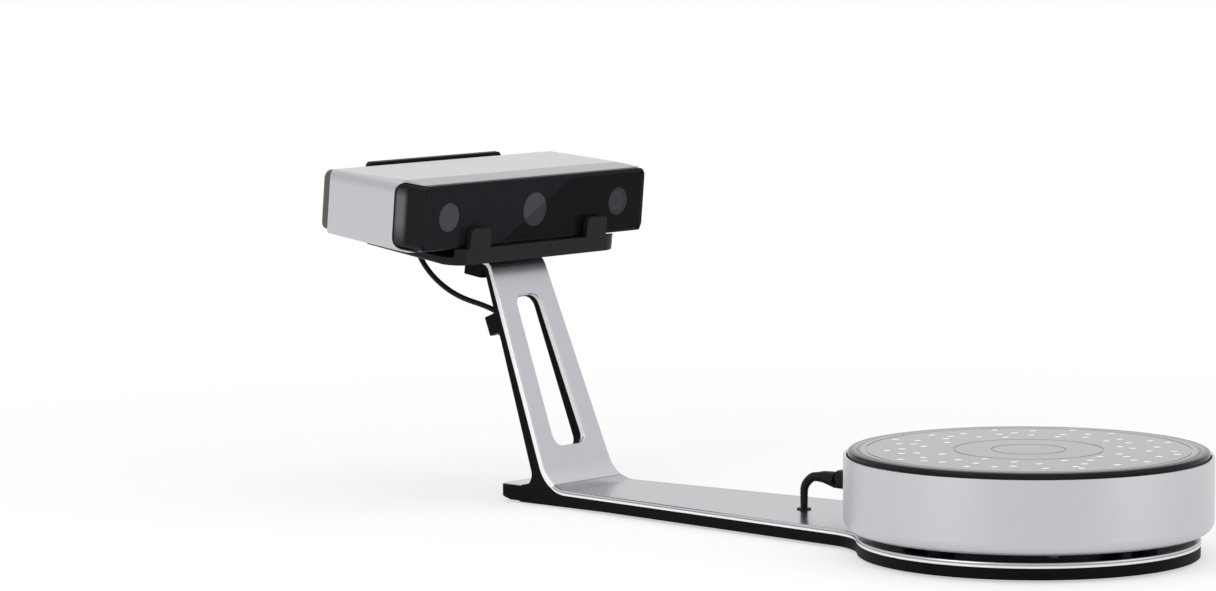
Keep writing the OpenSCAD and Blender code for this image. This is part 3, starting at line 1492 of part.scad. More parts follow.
pin_collar_r = 4;
module reduction_pin() {
    color([0.75, 0.75, 0.76]) from_axis() at_reduction() {
        translate([0, 0, bracket_low]) cylinder(r = pin_r, h = pinion_top - bracket_low);
        translate([0, 0, bracket_low + bracket_t])
            cylinder(r = pin_collar_r, h = wheel_low - bracket_low - bracket_t - fit);
    }
}

drive_chip_shares = [[0.7, 0.36], [0.66, -0.41]];
module control_board() {
    color([0.05, 0.3, 0.15]) from_axis() translate([drive_board_from, 0, board_z]) {
        block([0, -drive_board_half, 0], [drive_board_l, drive_board_half, board_thick]);
        for (share = drive_chip_shares)
            translate([share.x * drive_board_l, share.y * drive_board_half, board_thick - fit])
                block([-chip_size.x / 2, -chip_size.y / 2, 0],
                      [chip_size.x / 2, chip_size.y / 2, board_thick]);
    }
}

drum_socket_gap = 0.6;
drum_socket_l = 12.6;
drum_socket_half = 6;
drum_socket_top = 38.4;
module turntable_socket() {
    from = drum_wall + drum_socket_gap - drum_r;
    color([0.08, 0.08, 0.08]) from_axis() difference() {
        block([from, -drum_socket_half, board_z + board_thick],
              [from + drum_socket_l, drum_socket_half, drum_socket_top]);
        bar_x([from - cut, 0, plug_z], from + drum_socket_l - cut, barrel_r + fit);
    }
}

stand_frame();
base_plate();
upright_skin();
heel_plate();
heel_pad();
disc_feet();
channel_cover();
plate_screws();
skin_screws();
lead_clip();
lead_grommet();
clamp_block();
cradle();
cradle_pads();
cradle_screws();
signal_lead();
turntable_plug();
head_plug();
head_shell();
front_bezel();
front_panel();
left_window();
projector_window();
right_window();
optical_bench();
left_camera();
right_camera();
camera_lenses();
projector();
projector_lens();
heat_sink();
main_board();
fan_frame();
fan_rotor();
rear_cover();
lead_socket();
usb_socket();
power_socket();
power_button();
button_switch();
rear_screws();
drum();
turntable_pan();
turntable_feet();
pan_screws();
platter();
marker_dots();
platter_gear();
platter_hub();
hub_screws();
retaining_ring();
spindle_bush();
thrust_washer();
motor_bracket();
drive_motor();
motor_pinion();
reduction_gear();
reduction_pin();
control_board();
turntable_socket();
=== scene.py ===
"""Desktop 3D scanner: the finish of every surface, built round the fixed frame of its parts."""
import json
from math import acos, cos, pi, radians, sin, tan

import bmesh
import bpy
from bpy.props import FloatProperty, FloatVectorProperty, IntProperty, PointerProperty
from mathutils import Matrix, Vector


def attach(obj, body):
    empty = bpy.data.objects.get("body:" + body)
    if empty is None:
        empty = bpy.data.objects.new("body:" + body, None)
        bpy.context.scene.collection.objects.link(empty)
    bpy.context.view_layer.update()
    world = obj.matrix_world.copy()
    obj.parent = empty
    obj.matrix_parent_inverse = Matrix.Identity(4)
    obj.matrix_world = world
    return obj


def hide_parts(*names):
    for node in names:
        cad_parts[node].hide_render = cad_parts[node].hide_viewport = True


bl_info = {
    "name": "Desktop 3D scanner",
    "version": (1, 0, 0),
    "blender": (4, 5, 0),
    "location": "3D View > Sidebar > Scanner",
    "description": "Dresses the parts of a desktop 3D scanner with a motor-driven turntable",
    "category": "Object",
}

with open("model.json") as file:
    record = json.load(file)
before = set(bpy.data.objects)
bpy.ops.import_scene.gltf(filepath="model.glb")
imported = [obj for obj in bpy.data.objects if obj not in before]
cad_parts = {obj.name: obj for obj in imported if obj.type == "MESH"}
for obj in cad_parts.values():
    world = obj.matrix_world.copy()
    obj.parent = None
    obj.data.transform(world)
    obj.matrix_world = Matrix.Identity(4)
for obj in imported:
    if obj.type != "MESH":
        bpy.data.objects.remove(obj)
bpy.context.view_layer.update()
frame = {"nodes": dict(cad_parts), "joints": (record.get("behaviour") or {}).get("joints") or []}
PLATTER_AXIS = next(j for j in frame["joints"] if j["name"] == "platter_spin")["pos_m"][0]
MM = 0.001
MICRON = 0.000001

# The photograph's frame in pixels, and the camera that took it
PHOTO_WIDTH = 1216
FOCAL_PIXELS = 4716.151
SENSOR_WIDTH = 36.0
CAMERA_PLACE = (1.76114, -2.13954, 0.41842)
CAMERA_AZIMUTH = radians(41.495)
CAMERA_ELEVATION = radians(5.814)
CAMERA_ROLL = radians(-0.316)
CAMERA_SHIFT = (-0.00409, 0.001576)

# The scan head's own frame, with its origin in the middle of its front face
HEAD_ORIGIN = Vector((PLATTER_AXIS - 0.3772, 0, 0.1782))
HEAD_PITCH = radians(5.5)
HEAD_FRAME = Matrix.Translation(HEAD_ORIGIN) @ Matrix.Rotation(HEAD_PITCH, 4, "Y")
AHEAD, ACROSS, UP = (1, 0, 0), (0, 1, 0), (0, 0, 1)

# The silver plate's underside, and the bend by which it rises toward the stand
PLATE_LOW = 0.0082
PLATE_BEND_FROM = -0.3248
PLATE_BEND_R = 0.024

# The lines painted along the plate's side, a painted highlight low on it and a painted shade
# above it: their tops over its underside, and how sharply they end
PAINTED_HIGHLIGHT_TOP = 0.0014
PAINTED_SHADE_TOP = 0.0021
LINE_SHARPNESS = 4000.0
# The painted highlight's colour, on the plate's side and on the upright skin's sides
PAINTED_HIGHLIGHT_TINT = (0.80, 0.80, 0.80)

# A copy of a part joins points within SAME_PLACE and faces within FLAT_ANGLE of each other.
# Where its faces meet at more than SHARP_ANGLE, the edge is rounded, but the silver sheets keep
# edges shorter than SHORTEST_ROUNDED.
SAME_PLACE = 2 * MICRON
FLAT_ANGLE = 0.4
SHARP_ANGLE = 35
SHORTEST_ROUNDED = 0.0011

# The signal lead's route in millimetres from the turntable's axis, and the radius of each bend
LEAD_ROUTE = [
    (-462.4, -20, 175.4), (-463.0, -20, 168), (-463.2, -20, 156), (-456.4, -20, 142),
    (-439.3, -20, 128.6), (-418.8, -19.5, 120.3), (-395.8, -18, 118.6), (-358.4, -18, 20),
    (-352.7, -18, 4.9), (-325, -9, 4.9), (-305, -2, 4.9), (-285, 0, 4.9), (-163.9, 0, 4.9),
    (-163.8, 0, 25.5), (-158, 0, 31.4), (-148, 0, 32),
]
LEAD_BENDS = [0, 8, 12, 14, 20, 16, 6, 30, 5.6, 8, 8, 8, 5, 7, 7, 0]

# The lead's points lie LEAD_STEP apart, and between the heights LEAD_FREE it hangs free: there
# its curve is eased LEAD_EASING times.
LEAD_STEP = 0.002
LEAD_FREE = (0.116, 0.172)
LEAD_EASING = 50

# In millimetres: the ribbed sleeve where the lead leaves the arm, and the boot of its plug
SLEEVE_BEYOND_X = -166
SLEEVE_FROM_Z = 13
SLEEVE_R = 2.3
SLEEVE_RIB = 1.5
SLEEVE_GROOVE = 0.3
RINGS_PER_RIB = 4
SLEEVE_WIDENING = 0.8
BOOT_FROM = -153
BOOT_END = (-139, 0, 31.0)
BOOT_RADII = (2.9, 5.0)

# How bright the room is for what it lights and for what mirrors it, and how much darker what
# is mirrored gets toward the camera's side
ROOM_LIGHT = 0.82
ROOM_MIRRORED = 0.87
ROOM_FALL = 0.15

# The share of plain white in the floor is FLOOR_WHITE round the object, so that its shadow
# shows. From FLOOR_FADE_FROM on it rises to 1 over FLOOR_FADE_OVER.
FLOOR_FADE_FROM = 0.35
FLOOR_FADE_OVER = 0.5
FLOOR_WHITE = 0.55


class ScannerSizes(bpy.types.PropertyGroup):
    """Sizes of the rounded edges and of the lead."""
    metal_edge: FloatProperty(
        name="Metal edge", description="Radius of the silver plate's and skin's edges",
        default=0.0009, min=0.0001, max=0.0015, unit="LENGTH", precision=5)
    moulded_edge: FloatProperty(
        name="Moulded edge", description="Radius of the edges of the moulded black parts",
        default=0.0007, min=0.0001, max=0.0015, unit="LENGTH", precision=5)
    shell_edge: FloatProperty(
        name="Shell edge", description="Radius of the scan head's long silver edges",
        default=0.0010, min=0.0001, max=0.0012, unit="LENGTH", precision=5)
    fine_edge: FloatProperty(
        name="Fine edge", description="Radius of the edges of small and thin parts",
        default=0.0003, min=0.00005, max=0.0006, unit="LENGTH", precision=5)
    lead_diameter: FloatProperty(
        name="Lead diameter", description="Diameter of the signal lead",
        default=0.0034, min=0.002, max=0.005, unit="LENGTH", precision=5)
    lead_steps: IntProperty(
        name="Lead steps", description="Points along each bend of the lead",
        default=8, min=3, max=16)


def colour(name, description, value):
    """A colour that a user can change."""
    return FloatVectorProperty(name=name, description=description, subtype="COLOR",
                               size=3, min=0, max=1, default=value)


class ScannerColours(bpy.types.PropertyGroup):
    """Base colours of the scanner's finishes."""
    silver: colour("Silver metal", "Silver plate and stand skin", (0.55, 0.547, 0.585))
    paint: colour("Silver paint", "Drum and scan head shell", (0.55, 0.548, 0.575))
    casting: colour("Black casting", "Stand's core under the silver", (0.0028, 0.0028, 0.003))
    moulding: colour("Black moulding", "Cradle and clamp", (0.0098, 0.0098, 0.0118))
    bezel: colour("Bezel black", "Bezel round the front panel", (0.004, 0.004, 0.0045))
    gloss: colour("Panel black", "Glossy front panel", (0.0125, 0.0122, 0.0155))
    glass: colour("Window grey", "Smoked windows", (0.058, 0.058, 0.066))
    platter: colour("Platter black", "Glossy top of the turntable", (0.012, 0.012, 0.013))
    rear: colour("Rear cover", "Dark grey rear cover", (0.060, 0.054, 0.052))
    rubber: colour("Rubber", "Feet, pads and the lead's jacket", (0.006, 0.006, 0.006))
    floor: colour("Floor", "Plain pale floor", (0.86, 0.86, 0.86))


class Varying:
    """A number that varies over a surface. Python's signs on it add Math nodes."""

    def __init__(self, finish, socket):
        self.finish, self.socket = finish, socket

    def _join(self, operation, first, second, clamp=False):
        return self.finish.node("ShaderNodeMath", {"operation": operation, "use_clamp": clamp},
                                {0: first, 1: second})

    def __add__(self, other):
        return self._join("ADD", self, other)

    def __sub__(self, other):
        return self._join("SUBTRACT", self, other)

    def __mul__(self, other):
        return self._join("MULTIPLY", self, other)

    def __truediv__(self, other):
        return self._join("DIVIDE", self, other)

    def __rsub__(self, other):
        return self._join("SUBTRACT", other, self)

    def __rtruediv__(self, other):
        return self._join("DIVIDE", other, self)

    __radd__ = __add__
    __rmul__ = __mul__

    def above(self, other):
        return self._join("GREATER_THAN", self, other)

    def largest(self, other):
        return self._join("MAXIMUM", self, other)

    def size(self):
        return self._join("ABSOLUTE", self, 0.0)

    def clamped(self):
        return self._join("ADD", self, 0.0, clamp=True)

    def rising(self, edge, sharpness):
        """0 up to an edge, then up to 1 at 1 / sharpness beyond it."""
        return ((self - edge) * sharpness).clamped()

    def falling(self, edge, sharpness):
        """1 up to 1 / sharpness before an edge, then down to 0 at the edge."""
        return ((edge - self) * sharpness).clamped()


class Finish:
    """A material in the making: one Principled shader and the nodes that feed it."""

    def __init__(self, name, owner=None):
        self.owner = owner or bpy.data.materials.new(name)
        self.owner.use_nodes = True
        self.tree = self.owner.node_tree
        self.tree.nodes.clear()

    def node(self, kind, settings=(), inputs=(), output=0):
        """Adds a node, sets it up first, then its sockets, and gives one of its outputs."""
        made = self.tree.nodes.new(kind)
        for name, value in dict(settings).items():
            setattr(made, name, value)
        for socket, value in dict(inputs).items():
            if isinstance(value, Varying):
                self.tree.links.new(value.socket, made.inputs[socket])
            elif value is not None:
                made.inputs[socket].default_value = value
        return Varying(self, made.outputs[output]) if made.outputs else None

    def place(self, stretch=(1, 1, 1), shift=(0, 0, 0)):
        """The piece's own coordinates in metres, stretched and then moved."""
        point = self.node("ShaderNodeTexCoord", output="Object")
        return self.node("ShaderNodeMapping", {"vector_type": "POINT"},
                         {"Vector": point, "Location": shift, "Scale": stretch})

    def noise(self, scale, detail=2.0, roughness=0.5, at=None):
        """A cloudy number from 0 to 1, with features of about 1 / scale metres."""
        return self.node("ShaderNodeTexNoise", {"noise_dimensions": "3D"},
                         {"Vector": at or self.place(), "Scale": scale, "Detail": detail,
                          "Roughness": roughness})

    def blend(self, factor, first, second):
        """A colour between two colours."""
        return self.node("ShaderNodeMix", {"data_type": "RGBA"},
                         {0: factor, 6: rgba(first), 7: rgba(second)}, output=2)

    def bump(self, height, depth, strength=1.0, under=None):
        """A normal tilted by a height from 0 to 1 over a depth in metres."""
        return self.node("ShaderNodeBump", inputs={"Height": height, "Distance": depth,
                                                   "Strength": strength, "Normal": under})

    def surface(self, **sockets):
        """Ends the material in a Principled shader with these sockets."""
        inputs = {name.replace("_", " ").title().replace("Ior", "IOR"): value
                  for name, value in sockets.items()}
        shader = self.node("ShaderNodeBsdfPrincipled", inputs=inputs)
        self.node("ShaderNodeOutputMaterial", inputs={"Surface": shader})
        return self.owner


def rgba(value):
    """Four numbers for a colour socket, or the link that feeds it."""
    return value if isinstance(value, Varying) else (*value[:3], 1.0)


def shade(value, factor):
    """A colour made lighter or darker."""
    return tuple(min(1.0, part * factor) for part in value)


# Finishes

def satin_silver(name, tint, roughness, metallic=1.0, glancing=1.0):
    """Satin metal: faint clouding, a very fine grain and slightly uneven gloss.

    A glancing share under 1 dims what it mirrors at a low angle.
    """
    finish = Finish(name)
    cloud = finish.noise(14, 3)
    grain = finish.noise(5200, 1)
    streak = finish.noise(1, 3, at=finish.place(stretch=(60, 1700, 1700)))
    base = finish.blend(cloud * 0.6 + streak * 0.4, shade(tint, 0.965), shade(tint, 1.03))
    gloss = streak * 0.05 + grain * 0.04 + (roughness - 0.045)
    return finish.surface(base_color=base, metallic=metallic, roughness=gloss,
                          specular_tint=rgba((glancing, glancing, glancing)),
                          normal=finish.bump(grain * 0.6 + streak * 0.4, 4 * MICRON, 0.5))


def painted_light_and_shade_side(name, tint, roughness):
    """Side of the silver plate: a painted highlight line low on it, a painted shade line above
    and plain metal.
    """
    finish = Finish(name)
    grain = finish.noise(5200, 1)
    spot = finish.place(shift=(-PLATTER_AXIS, 0, 0))
    along = finish.node("ShaderNodeSeparateXYZ", inputs={"Vector": spot}, output="X")
    past = (PLATE_BEND_FROM - along).largest(0.0)
    height = (finish.node("ShaderNodeSeparateXYZ", inputs={"Vector": spot}, output="Z")
              - past * past / (2 * PLATE_BEND_R) - PLATE_LOW)
    # bright is a painted highlight line along the plate's edge, dim a painted shade line above it
    bright = height.falling(PAINTED_HIGHLIGHT_TOP, LINE_SHARPNESS)
    dim = height.falling(PAINTED_SHADE_TOP, LINE_SHARPNESS) - bright
    base = finish.blend(dim, tint, shade(tint, 0.5))
    base = finish.blend(bright, base, PAINTED_HIGHLIGHT_TINT)
    return finish.surface(base_color=base, metallic=1.0 - bright * 0.85,
                          roughness=grain * 0.04 + (roughness - 0.02),
                          normal=finish.bump(grain, 4 * MICRON, 0.3))


def head_coordinate(finish, axis):
    """Distance in metres from the head's front middle along one of the head's own axes."""
    way = HEAD_FRAME.to_3x3() @ Vector(axis)
    point = finish.node("ShaderNodeTexCoord", output="Object")
    along = finish.node("ShaderNodeVectorMath", {"operation": "DOT_PRODUCT"},
                        {0: point, 1: way}, output="Value")
    return along - way.dot(HEAD_ORIGIN)


def painted_shade_mask(finish):
    """Painted shade: dark on the strip that slopes down to the bezel, and faint along the rounded
    shoulders.
    """
    brow_depth, brow_low = 0.020, 0.0186
    shoulder_low, shoulder_high, shoulder_across, shoulder_share = 0.0120, 0.0196, 0.0975, 0.55
    ahead = head_coordinate(finish, AHEAD).rising(-brow_depth, 2500.0)
    height = head_coordinate(finish, UP)
    across = head_coordinate(finish, ACROSS)
    brow = ahead * height.rising(brow_low, 1500.0)
    side = (across * across).above(shoulder_across * shoulder_across)
    band = height.rising(shoulder_low, 260.0) * height.falling(shoulder_high, 500.0)
    return brow.largest(band * side * shoulder_share)


def silver_paint(name, tint, roughness, metallic, darker=None):
    """Silver paint: tiny metal flakes under an even satin face."""
    finish = Finish(name)
    cloud = finish.noise(9, 2)
    flake = finish.noise(3300, 2, 0.7)
    orange_peel = finish.noise(700, 2)
    base = finish.blend(cloud * 0.5 + flake * 0.5, shade(tint, 0.95), shade(tint, 1.05))
    # darker, where given, is a mask of painted shade
    if darker:
        base = finish.blend(darker(finish), base, shade(tint, 0.68))
    gloss = flake * 0.09 + (roughness - 0.045)
    return finish.surface(base_color=base, metallic=metallic, roughness=gloss,
                          normal=finish.bump(flake * 0.5 + orange_peel * 0.5, 5 * MICRON, 0.5))


def grained_black(name, tint, roughness, grain_depth=20 * MICRON, specular=0.5):
    """Moulded or cast black: fine spark-eroded grain and faint clouding."""
    finish = Finish(name)
    cloud = finish.noise(25, 3)
    grain = finish.noise(2600, 3, 0.6)
    dust = finish.noise(180, 4, 0.7)
    base = finish.blend(cloud * 0.5 + dust * 0.5, shade(tint, 0.85), shade(tint, 1.2))
    gloss = grain * 0.10 + dust * 0.06 + (roughness - 0.08)
    return finish.surface(base_color=base, roughness=gloss, specular_ior_level=specular,
                          normal=finish.bump(grain, grain_depth, 0.6))


def painted_end_highlight(finish):
    """Painted highlight: a soft upright glow on the rear half of the bezel's two ends."""
    rear_end, front_end, top, bottom, outside = -0.0232, -0.0125, 0.0175, -0.0190, 0.0995
    depth = head_coordinate(finish, AHEAD)
    height = head_coordinate(finish, UP)
    across = head_coordinate(finish, ACROSS)
    rear = depth.rising(rear_end, 450.0) * depth.falling(front_end, 260.0)
    tall = height.falling(top, 160.0) * height.rising(bottom, 70.0)
    return rear * tall * (across * across).above(outside * outside)


def polished_black(name, tint, roughness, specular, glow=None):
    """Glossy black: a faint haze and hairline dust."""
    finish = Finish(name)
    haze = finish.noise(40, 4)
    dust = finish.noise(900, 2, 0.8)
    base = finish.blend(haze, shade(tint, 0.92), shade(tint, 1.08))
    # glow, where given, is a mask of painted highlight that lightens the black
    if glow:
        base = finish.blend(glow(finish), base, (0.105, 0.105, 0.11))
    gloss = haze * 0.04 + dust * 0.03 + (roughness - 0.035)
    return finish.surface(base_color=base, roughness=gloss, specular_ior_level=specular,
                          normal=finish.bump(haze, 2 * MICRON, 0.3))


def painted_reflection_mask(finish):
    """Painted reflection: 1 on the upper left of the slanting line across the front panel, 0 on
    its lower right.
    """
    top_y, low_y, panel_height = 0.032, -0.0285, 0.0356
    slope = (top_y - low_y) / panel_height
    across = head_coordinate(finish, ACROSS)
    offset = across - head_coordinate(finish, UP) * slope - (top_y + low_y) / 2
    return 1.0 - (offset * 900.0 + 0.5).clamped()


def lens_and_painted_glint(finish):
    """The lens behind the right window, painted on the glass as a faint lighter ring: a painted
    highlight on its rim.
    """
    middle_across, middle_height, outer_r, inner_r = 0.0755, 0.0006, 0.0064, 0.0046
    across = head_coordinate(finish, ACROSS) - middle_across
    height = head_coordinate(finish, UP) - middle_height
    apart = across * across + height * height
    outer = apart.falling(outer_r * outer_r, 90000.0)
    inner = apart.falling(inner_r * inner_r, 90000.0)
    return (outer - inner * 0.7) * 0.22


def painted_reflection_front(name, light, dark, roughness, specular, lens=None):
    """Glossy front with a painted reflection: lighter above a slanting line and darker below it.
    """
    finish = Finish(name)
    haze = finish.noise(60, 3)
    mask = painted_reflection_mask(finish)
    base = finish.blend(mask, dark, light)
    base = finish.blend(haze * 0.12, base, shade(light, 1.25))
    # lens, where given, is a painted highlight of the lens ring behind the window
    if lens:
        base = finish.blend(lens(finish), base, shade(light, 1.5))
    return finish.surface(base_color=base, roughness=haze * 0.04 + roughness,
                          specular_ior_level=specular)


def ring_cut_platter(name, tint, roughness):
    """Platter: glossy black with faint marks of turning, and a rounded lip with one gleam."""
    roll_from, lip_from, gleam_at, gleam_half = 0.0935, 0.0945, 0.0982, 0.0010
    roll_depth = 0.0013
    finish = Finish(name)
    point = finish.place(shift=(-PLATTER_AXIS, 0, 0), stretch=(1, 1, 0))
    radius = finish.node("ShaderNodeVectorMath", {"operation": "LENGTH"}, {0: point},
                         output="Value")
    haze = finish.noise(30, 3)
    rings = finish.node("ShaderNodeMath", {"operation": "SINE"}, {0: radius * 9000.0})
    base = finish.blend(haze, shade(tint, 0.9), shade(tint, 1.15))
    gloss = haze * 0.04 + rings * 0.008 + roughness
    margin = radius.rising(roll_from, 110.0)
    roll = finish.bump(1.0 - margin * margin, roll_depth)
    lip = radius.rising(lip_from, 500.0)
    line = (radius - gleam_at).size().falling(gleam_half, 1500.0)
    gleam = (1.0 - lip * 0.94 + line * 0.5).clamped() * 0.62
    return finish.surface(base_color=base, roughness=gloss, specular_ior_level=0.05,
                          coat_weight=gleam, coat_roughness=0.08, coat_ior=1.45,
                          normal=finish.bump(haze, 2 * MICRON, 0.2, roll))


def plated_steel(name, tint, roughness):
    """Zinc-plated steel: cloudy grey with a bright grain."""
    finish = Finish(name)
    cloud = finish.noise(260, 4, 0.6)
    grain = finish.noise(4000, 2)
    base = finish.blend(cloud, shade(tint, 0.8), shade(tint, 1.2))
    return finish.surface(base_color=base, metallic=1.0,
                          roughness=cloud * 0.1 + grain * 0.06 + (roughness - 0.08),
                          normal=finish.bump(grain, 6 * MICRON, 0.5))


def circuit_board(name):
    """Circuit board: green lacquer over copper tracks."""
    finish = Finish(name)
    tracks = finish.node("ShaderNodeTexBrick", {"offset": 0.5, "squash": 1.0},
                         {"Vector": finish.place(), "Scale": 160.0,
                          "Mortar Size": 0.06, "Color1": rgba((0.012, 0.09, 0.045)),
                          "Color2": rgba((0.010, 0.075, 0.038)),
                          "Mortar": rgba((0.03, 0.16, 0.07))})
    cloud = finish.noise(120, 2)
    base = finish.blend(cloud * 0.3, tracks, (0.02, 0.11, 0.05))
    return finish.surface(base_color=base, roughness=cloud * 0.08 + 0.30)


def make_finishes(colours):
    """Every finish by name."""
    return {
        "silver_metal": satin_silver("silver_metal", colours.silver, 0.30),
        "silver_paint": silver_paint("silver_paint", colours.paint, 0.36, 0.85),
        # The plate's silver, painted darker than the same silver on the skin: a painted shade
        "plate_silver": satin_silver("plate_silver", shade(colours.silver, 0.80), 0.22,
                                     glancing=0.88),
        "painted_light_and_shade_side": painted_light_and_shade_side("painted_light_and_shade_side", colours.silver, 0.30),
        # The upright skin's sides: a pale, barely metallic silver, a painted highlight along its
        # edges
        "painted_highlight_edge": satin_silver("painted_highlight_edge", PAINTED_HIGHLIGHT_TINT, 0.30, metallic=0.15),
        # The head shell's paint carries painted shade on its brow and shoulders
        "shell_paint": silver_paint("shell_paint", colours.paint, 0.36, 0.85, painted_shade_mask),
        "black_casting": grained_black("black_casting", colours.casting, 0.55, 30 * MICRON,
                                       0.06),
        "black_plastic": grained_black("black_plastic", colours.moulding, 0.42, 20 * MICRON,
                                       0.12),
        # The bezel's ends carry a painted highlight
        "bezel_black": polished_black("bezel_black", colours.bezel, 0.20, 0.10, painted_end_highlight),
        "cable_black": grained_black("cable_black", colours.rubber, 0.45, 10 * MICRON, 0.12),
        "grey_plastic": grained_black("grey_plastic", colours.rear, 0.45),
        "rubber": grained_black("rubber", colours.rubber, 0.75, 30 * MICRON, 0.2),
        # The front panel and the windows carry a painted reflection, lighter above a slanting
        # line
        "gloss_black": painted_reflection_front("gloss_black", colours.gloss, shade(colours.gloss, 0.5),
                                0.10, 0.03),
        "smoked_glass": painted_reflection_front("smoked_glass", colours.glass, shade(colours.glass, 0.62),
                                 0.12, 0.04, lens_and_painted_glint),
        "platter_black": ring_cut_platter("platter_black", colours.platter, 0.10),
        "dot_white": grained_black("dot_white", (0.78, 0.78, 0.76), 0.5, 5 * MICRON, 0.4),
        "steel": plated_steel("steel", (0.42, 0.42, 0.43), 0.34),
        "brass": plated_steel("brass", (0.62, 0.44, 0.18), 0.32),
        "white_nylon": grained_black("white_nylon", (0.66, 0.66, 0.61), 0.42),
        "inner_aluminium": satin_silver("inner_aluminium", (0.50, 0.50, 0.51), 0.42),
        "inner_black": grained_black("inner_black", (0.02, 0.02, 0.022), 0.4),
        "circuit_board": circuit_board("circuit_board"),
    }


# Pieces

def dress(node, finish):
    """Gives a part that keeps its own shape its finish."""
    part = frame["nodes"][node]
    part.data.materials.clear()
    part.data.materials.append(finishes[finish])
    return part


def add_piece(name, mesh, nodes, finish, body="root"):
    """Makes an object of a mesh that stands for these nodes, rides on a body and has a finish."""
    data = bpy.data.meshes.new(name)
    mesh.to_mesh(data)
    mesh.free()
    data.materials.append(finishes[finish])
    piece = bpy.data.objects.new(name, data)
    bpy.context.scene.collection.objects.link(piece)
    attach(piece, body)
    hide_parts(*nodes)
    return piece


def shade_by_angle(piece, angle=32):
    """Smooth shading that stays crisp at sharp edges and flat on flat faces."""
    piece.data.shade_smooth()
    piece.data.set_sharp_from_angle(angle=radians(angle))
    weighted = piece.modifiers.new("flat_faces", "WEIGHTED_NORMAL")
    weighted.mode = "FACE_AREA_WITH_ANGLE"
    weighted.weight = 90
    weighted.keep_sharp = True


def merged_copy(node):
    """A bmesh copy of a part with its loose triangles joined and its flat faces made whole."""
    mesh = bmesh.new()
    mesh.from_mesh(frame["nodes"][node].data)
    bmesh.ops.remove_doubles(mesh, verts=mesh.verts, dist=SAME_PLACE)
    bmesh.ops.dissolve_degenerate(mesh, edges=mesh.edges, dist=SAME_PLACE)
    bmesh.ops.dissolve_limit(mesh, verts=mesh.verts, edges=mesh.edges,
                             angle_limit=radians(FLAT_ANGLE), use_dissolve_boundaries=False)
    return mesh


def sharp_edges(mesh):
    """Edges whose faces meet at more than SHARP_ANGLE."""
    return [edge for edge in mesh.edges
            if len(edge.link_faces) == 2 and edge.calc_face_angle(0) >= radians(SHARP_ANGLE)]


def round_off(mesh, edges, radius, clamp):
    """Rounds these edges. With clamp, the radius shrinks to what fits the tightest of them."""
    bmesh.ops.bevel(mesh, geom=edges, offset=radius, offset_type="OFFSET", affect="EDGES",
                    segments=3, profile=0.5, material=-1, clamp_overlap=clamp)


def on_outside(face, sideways):
    """Whether a face of a sheet lies on its outside, and not on its sides or its inside."""
    return sum(face.normal * (Vector((1, 1, 1)) - sideways)) > 0.5


def on_side(face, sideways):
    """Whether a face of a sheet lies on its sides."""
    return (face.normal * sideways).length > 0.9


def softened(node, radius, finish, body="root"):
    """A part's own shape with its sharp edges rounded, which stands for the part."""
    mesh = merged_copy(node)
    round_off(mesh, sharp_edges(mesh), radius, clamp=True)
    piece = add_piece("soft_" + node, mesh, [node], finish, body)
    shade_by_angle(piece)
    return piece


def softened_sheet(node, radius, finish, side_finish, sideways):
    """A sheet's own shape with its outer edges rounded, and another finish on its sides.

    The sides face along the axes that are 1 in sideways.
    """
    mesh = merged_copy(node)
    sideways = Vector(sideways)
    edges = [edge for edge in sharp_edges(mesh) if edge.calc_length() > SHORTEST_ROUNDED
             and any(on_outside(face, sideways) for face in edge.link_faces)]
    round_off(mesh, edges, radius, clamp=False)
    mesh.normal_update()
    for face in mesh.faces:
        face.material_index = int(on_side(face, sideways))
    piece = add_piece("soft_" + node, mesh, [node], finish)
    piece.data.materials.append(finishes[side_finish])
    shade_by_angle(piece)
    return piece


def corner_arc(before, corner, after, radius, steps):
    """Points of the arc that rounds a corner between two points."""
    to_before, to_after = (before - corner).normalized(), (after - corner).normalized()
    half = acos(max(-1.0, min(1.0, to_before.dot(to_after)))) / 2
    sweep = pi - 2 * half
    middle = corner + (to_before + to_after).normalized() * radius / sin(half)
    start = corner + to_before * radius / tan(half) - middle
    end = corner + to_after * radius / tan(half) - middle
    return [middle + (start * sin(sweep * (1 - i / steps)) + end * sin(sweep * i / steps))
            / sin(sweep) for i in range(steps + 1)]


def lead_points(steps):
    """The lead's centre line in metres."""
    corners = [Vector((x * MM + PLATTER_AXIS, y * MM, z * MM)) for x, y, z in LEAD_ROUTE]
    points = []
    for i, (corner, bend) in enumerate(zip(corners, LEAD_BENDS)):
        if bend == 0:
            points.append(corner)
        else:
            points += corner_arc(corners[i - 1], corner, corners[i + 1], bend * MM, steps)
    points = spaced(points, LEAD_STEP) + [points[-1]]
    for _ in range(LEAD_EASING):
        points = [eased(points, i) for i in range(len(points))]
    return points


def eased(points, i):
    """A point of the free hanging part moved half way to the middle of its neighbours."""
    if i in (0, len(points) - 1) or not LEAD_FREE[0] < points[i].z < LEAD_FREE[1]:
        return points[i]
    return points[i].lerp((points[i - 1] + points[i + 1]) / 2, 0.5)


def swept_tube(points, radii, segments=20):
    """A closed tube of rings along a line, each with its own radius."""
    mesh = bmesh.new()
    loops = []
    for i, (point, radius) in enumerate(zip(points, radii)):
        way = points[min(i + 1, len(points) - 1)] - points[max(i - 1, 0)]
        place = Matrix.Translation(point) @ way.to_track_quat("Z", "Y").to_matrix().to_4x4()
        ring = bmesh.ops.create_circle(mesh, cap_ends=i in (0, len(points) - 1), radius=radius,
                                       segments=segments, matrix=place)["verts"]
        loops.append([edge for edge in mesh.edges
                      if edge.verts[0] in ring and edge.verts[1] in ring])
    for first, second in zip(loops, loops[1:]):
        bmesh.ops.bridge_loops(mesh, edges=first + second)
    bmesh.ops.recalc_face_normals(mesh, faces=mesh.faces)
    return mesh


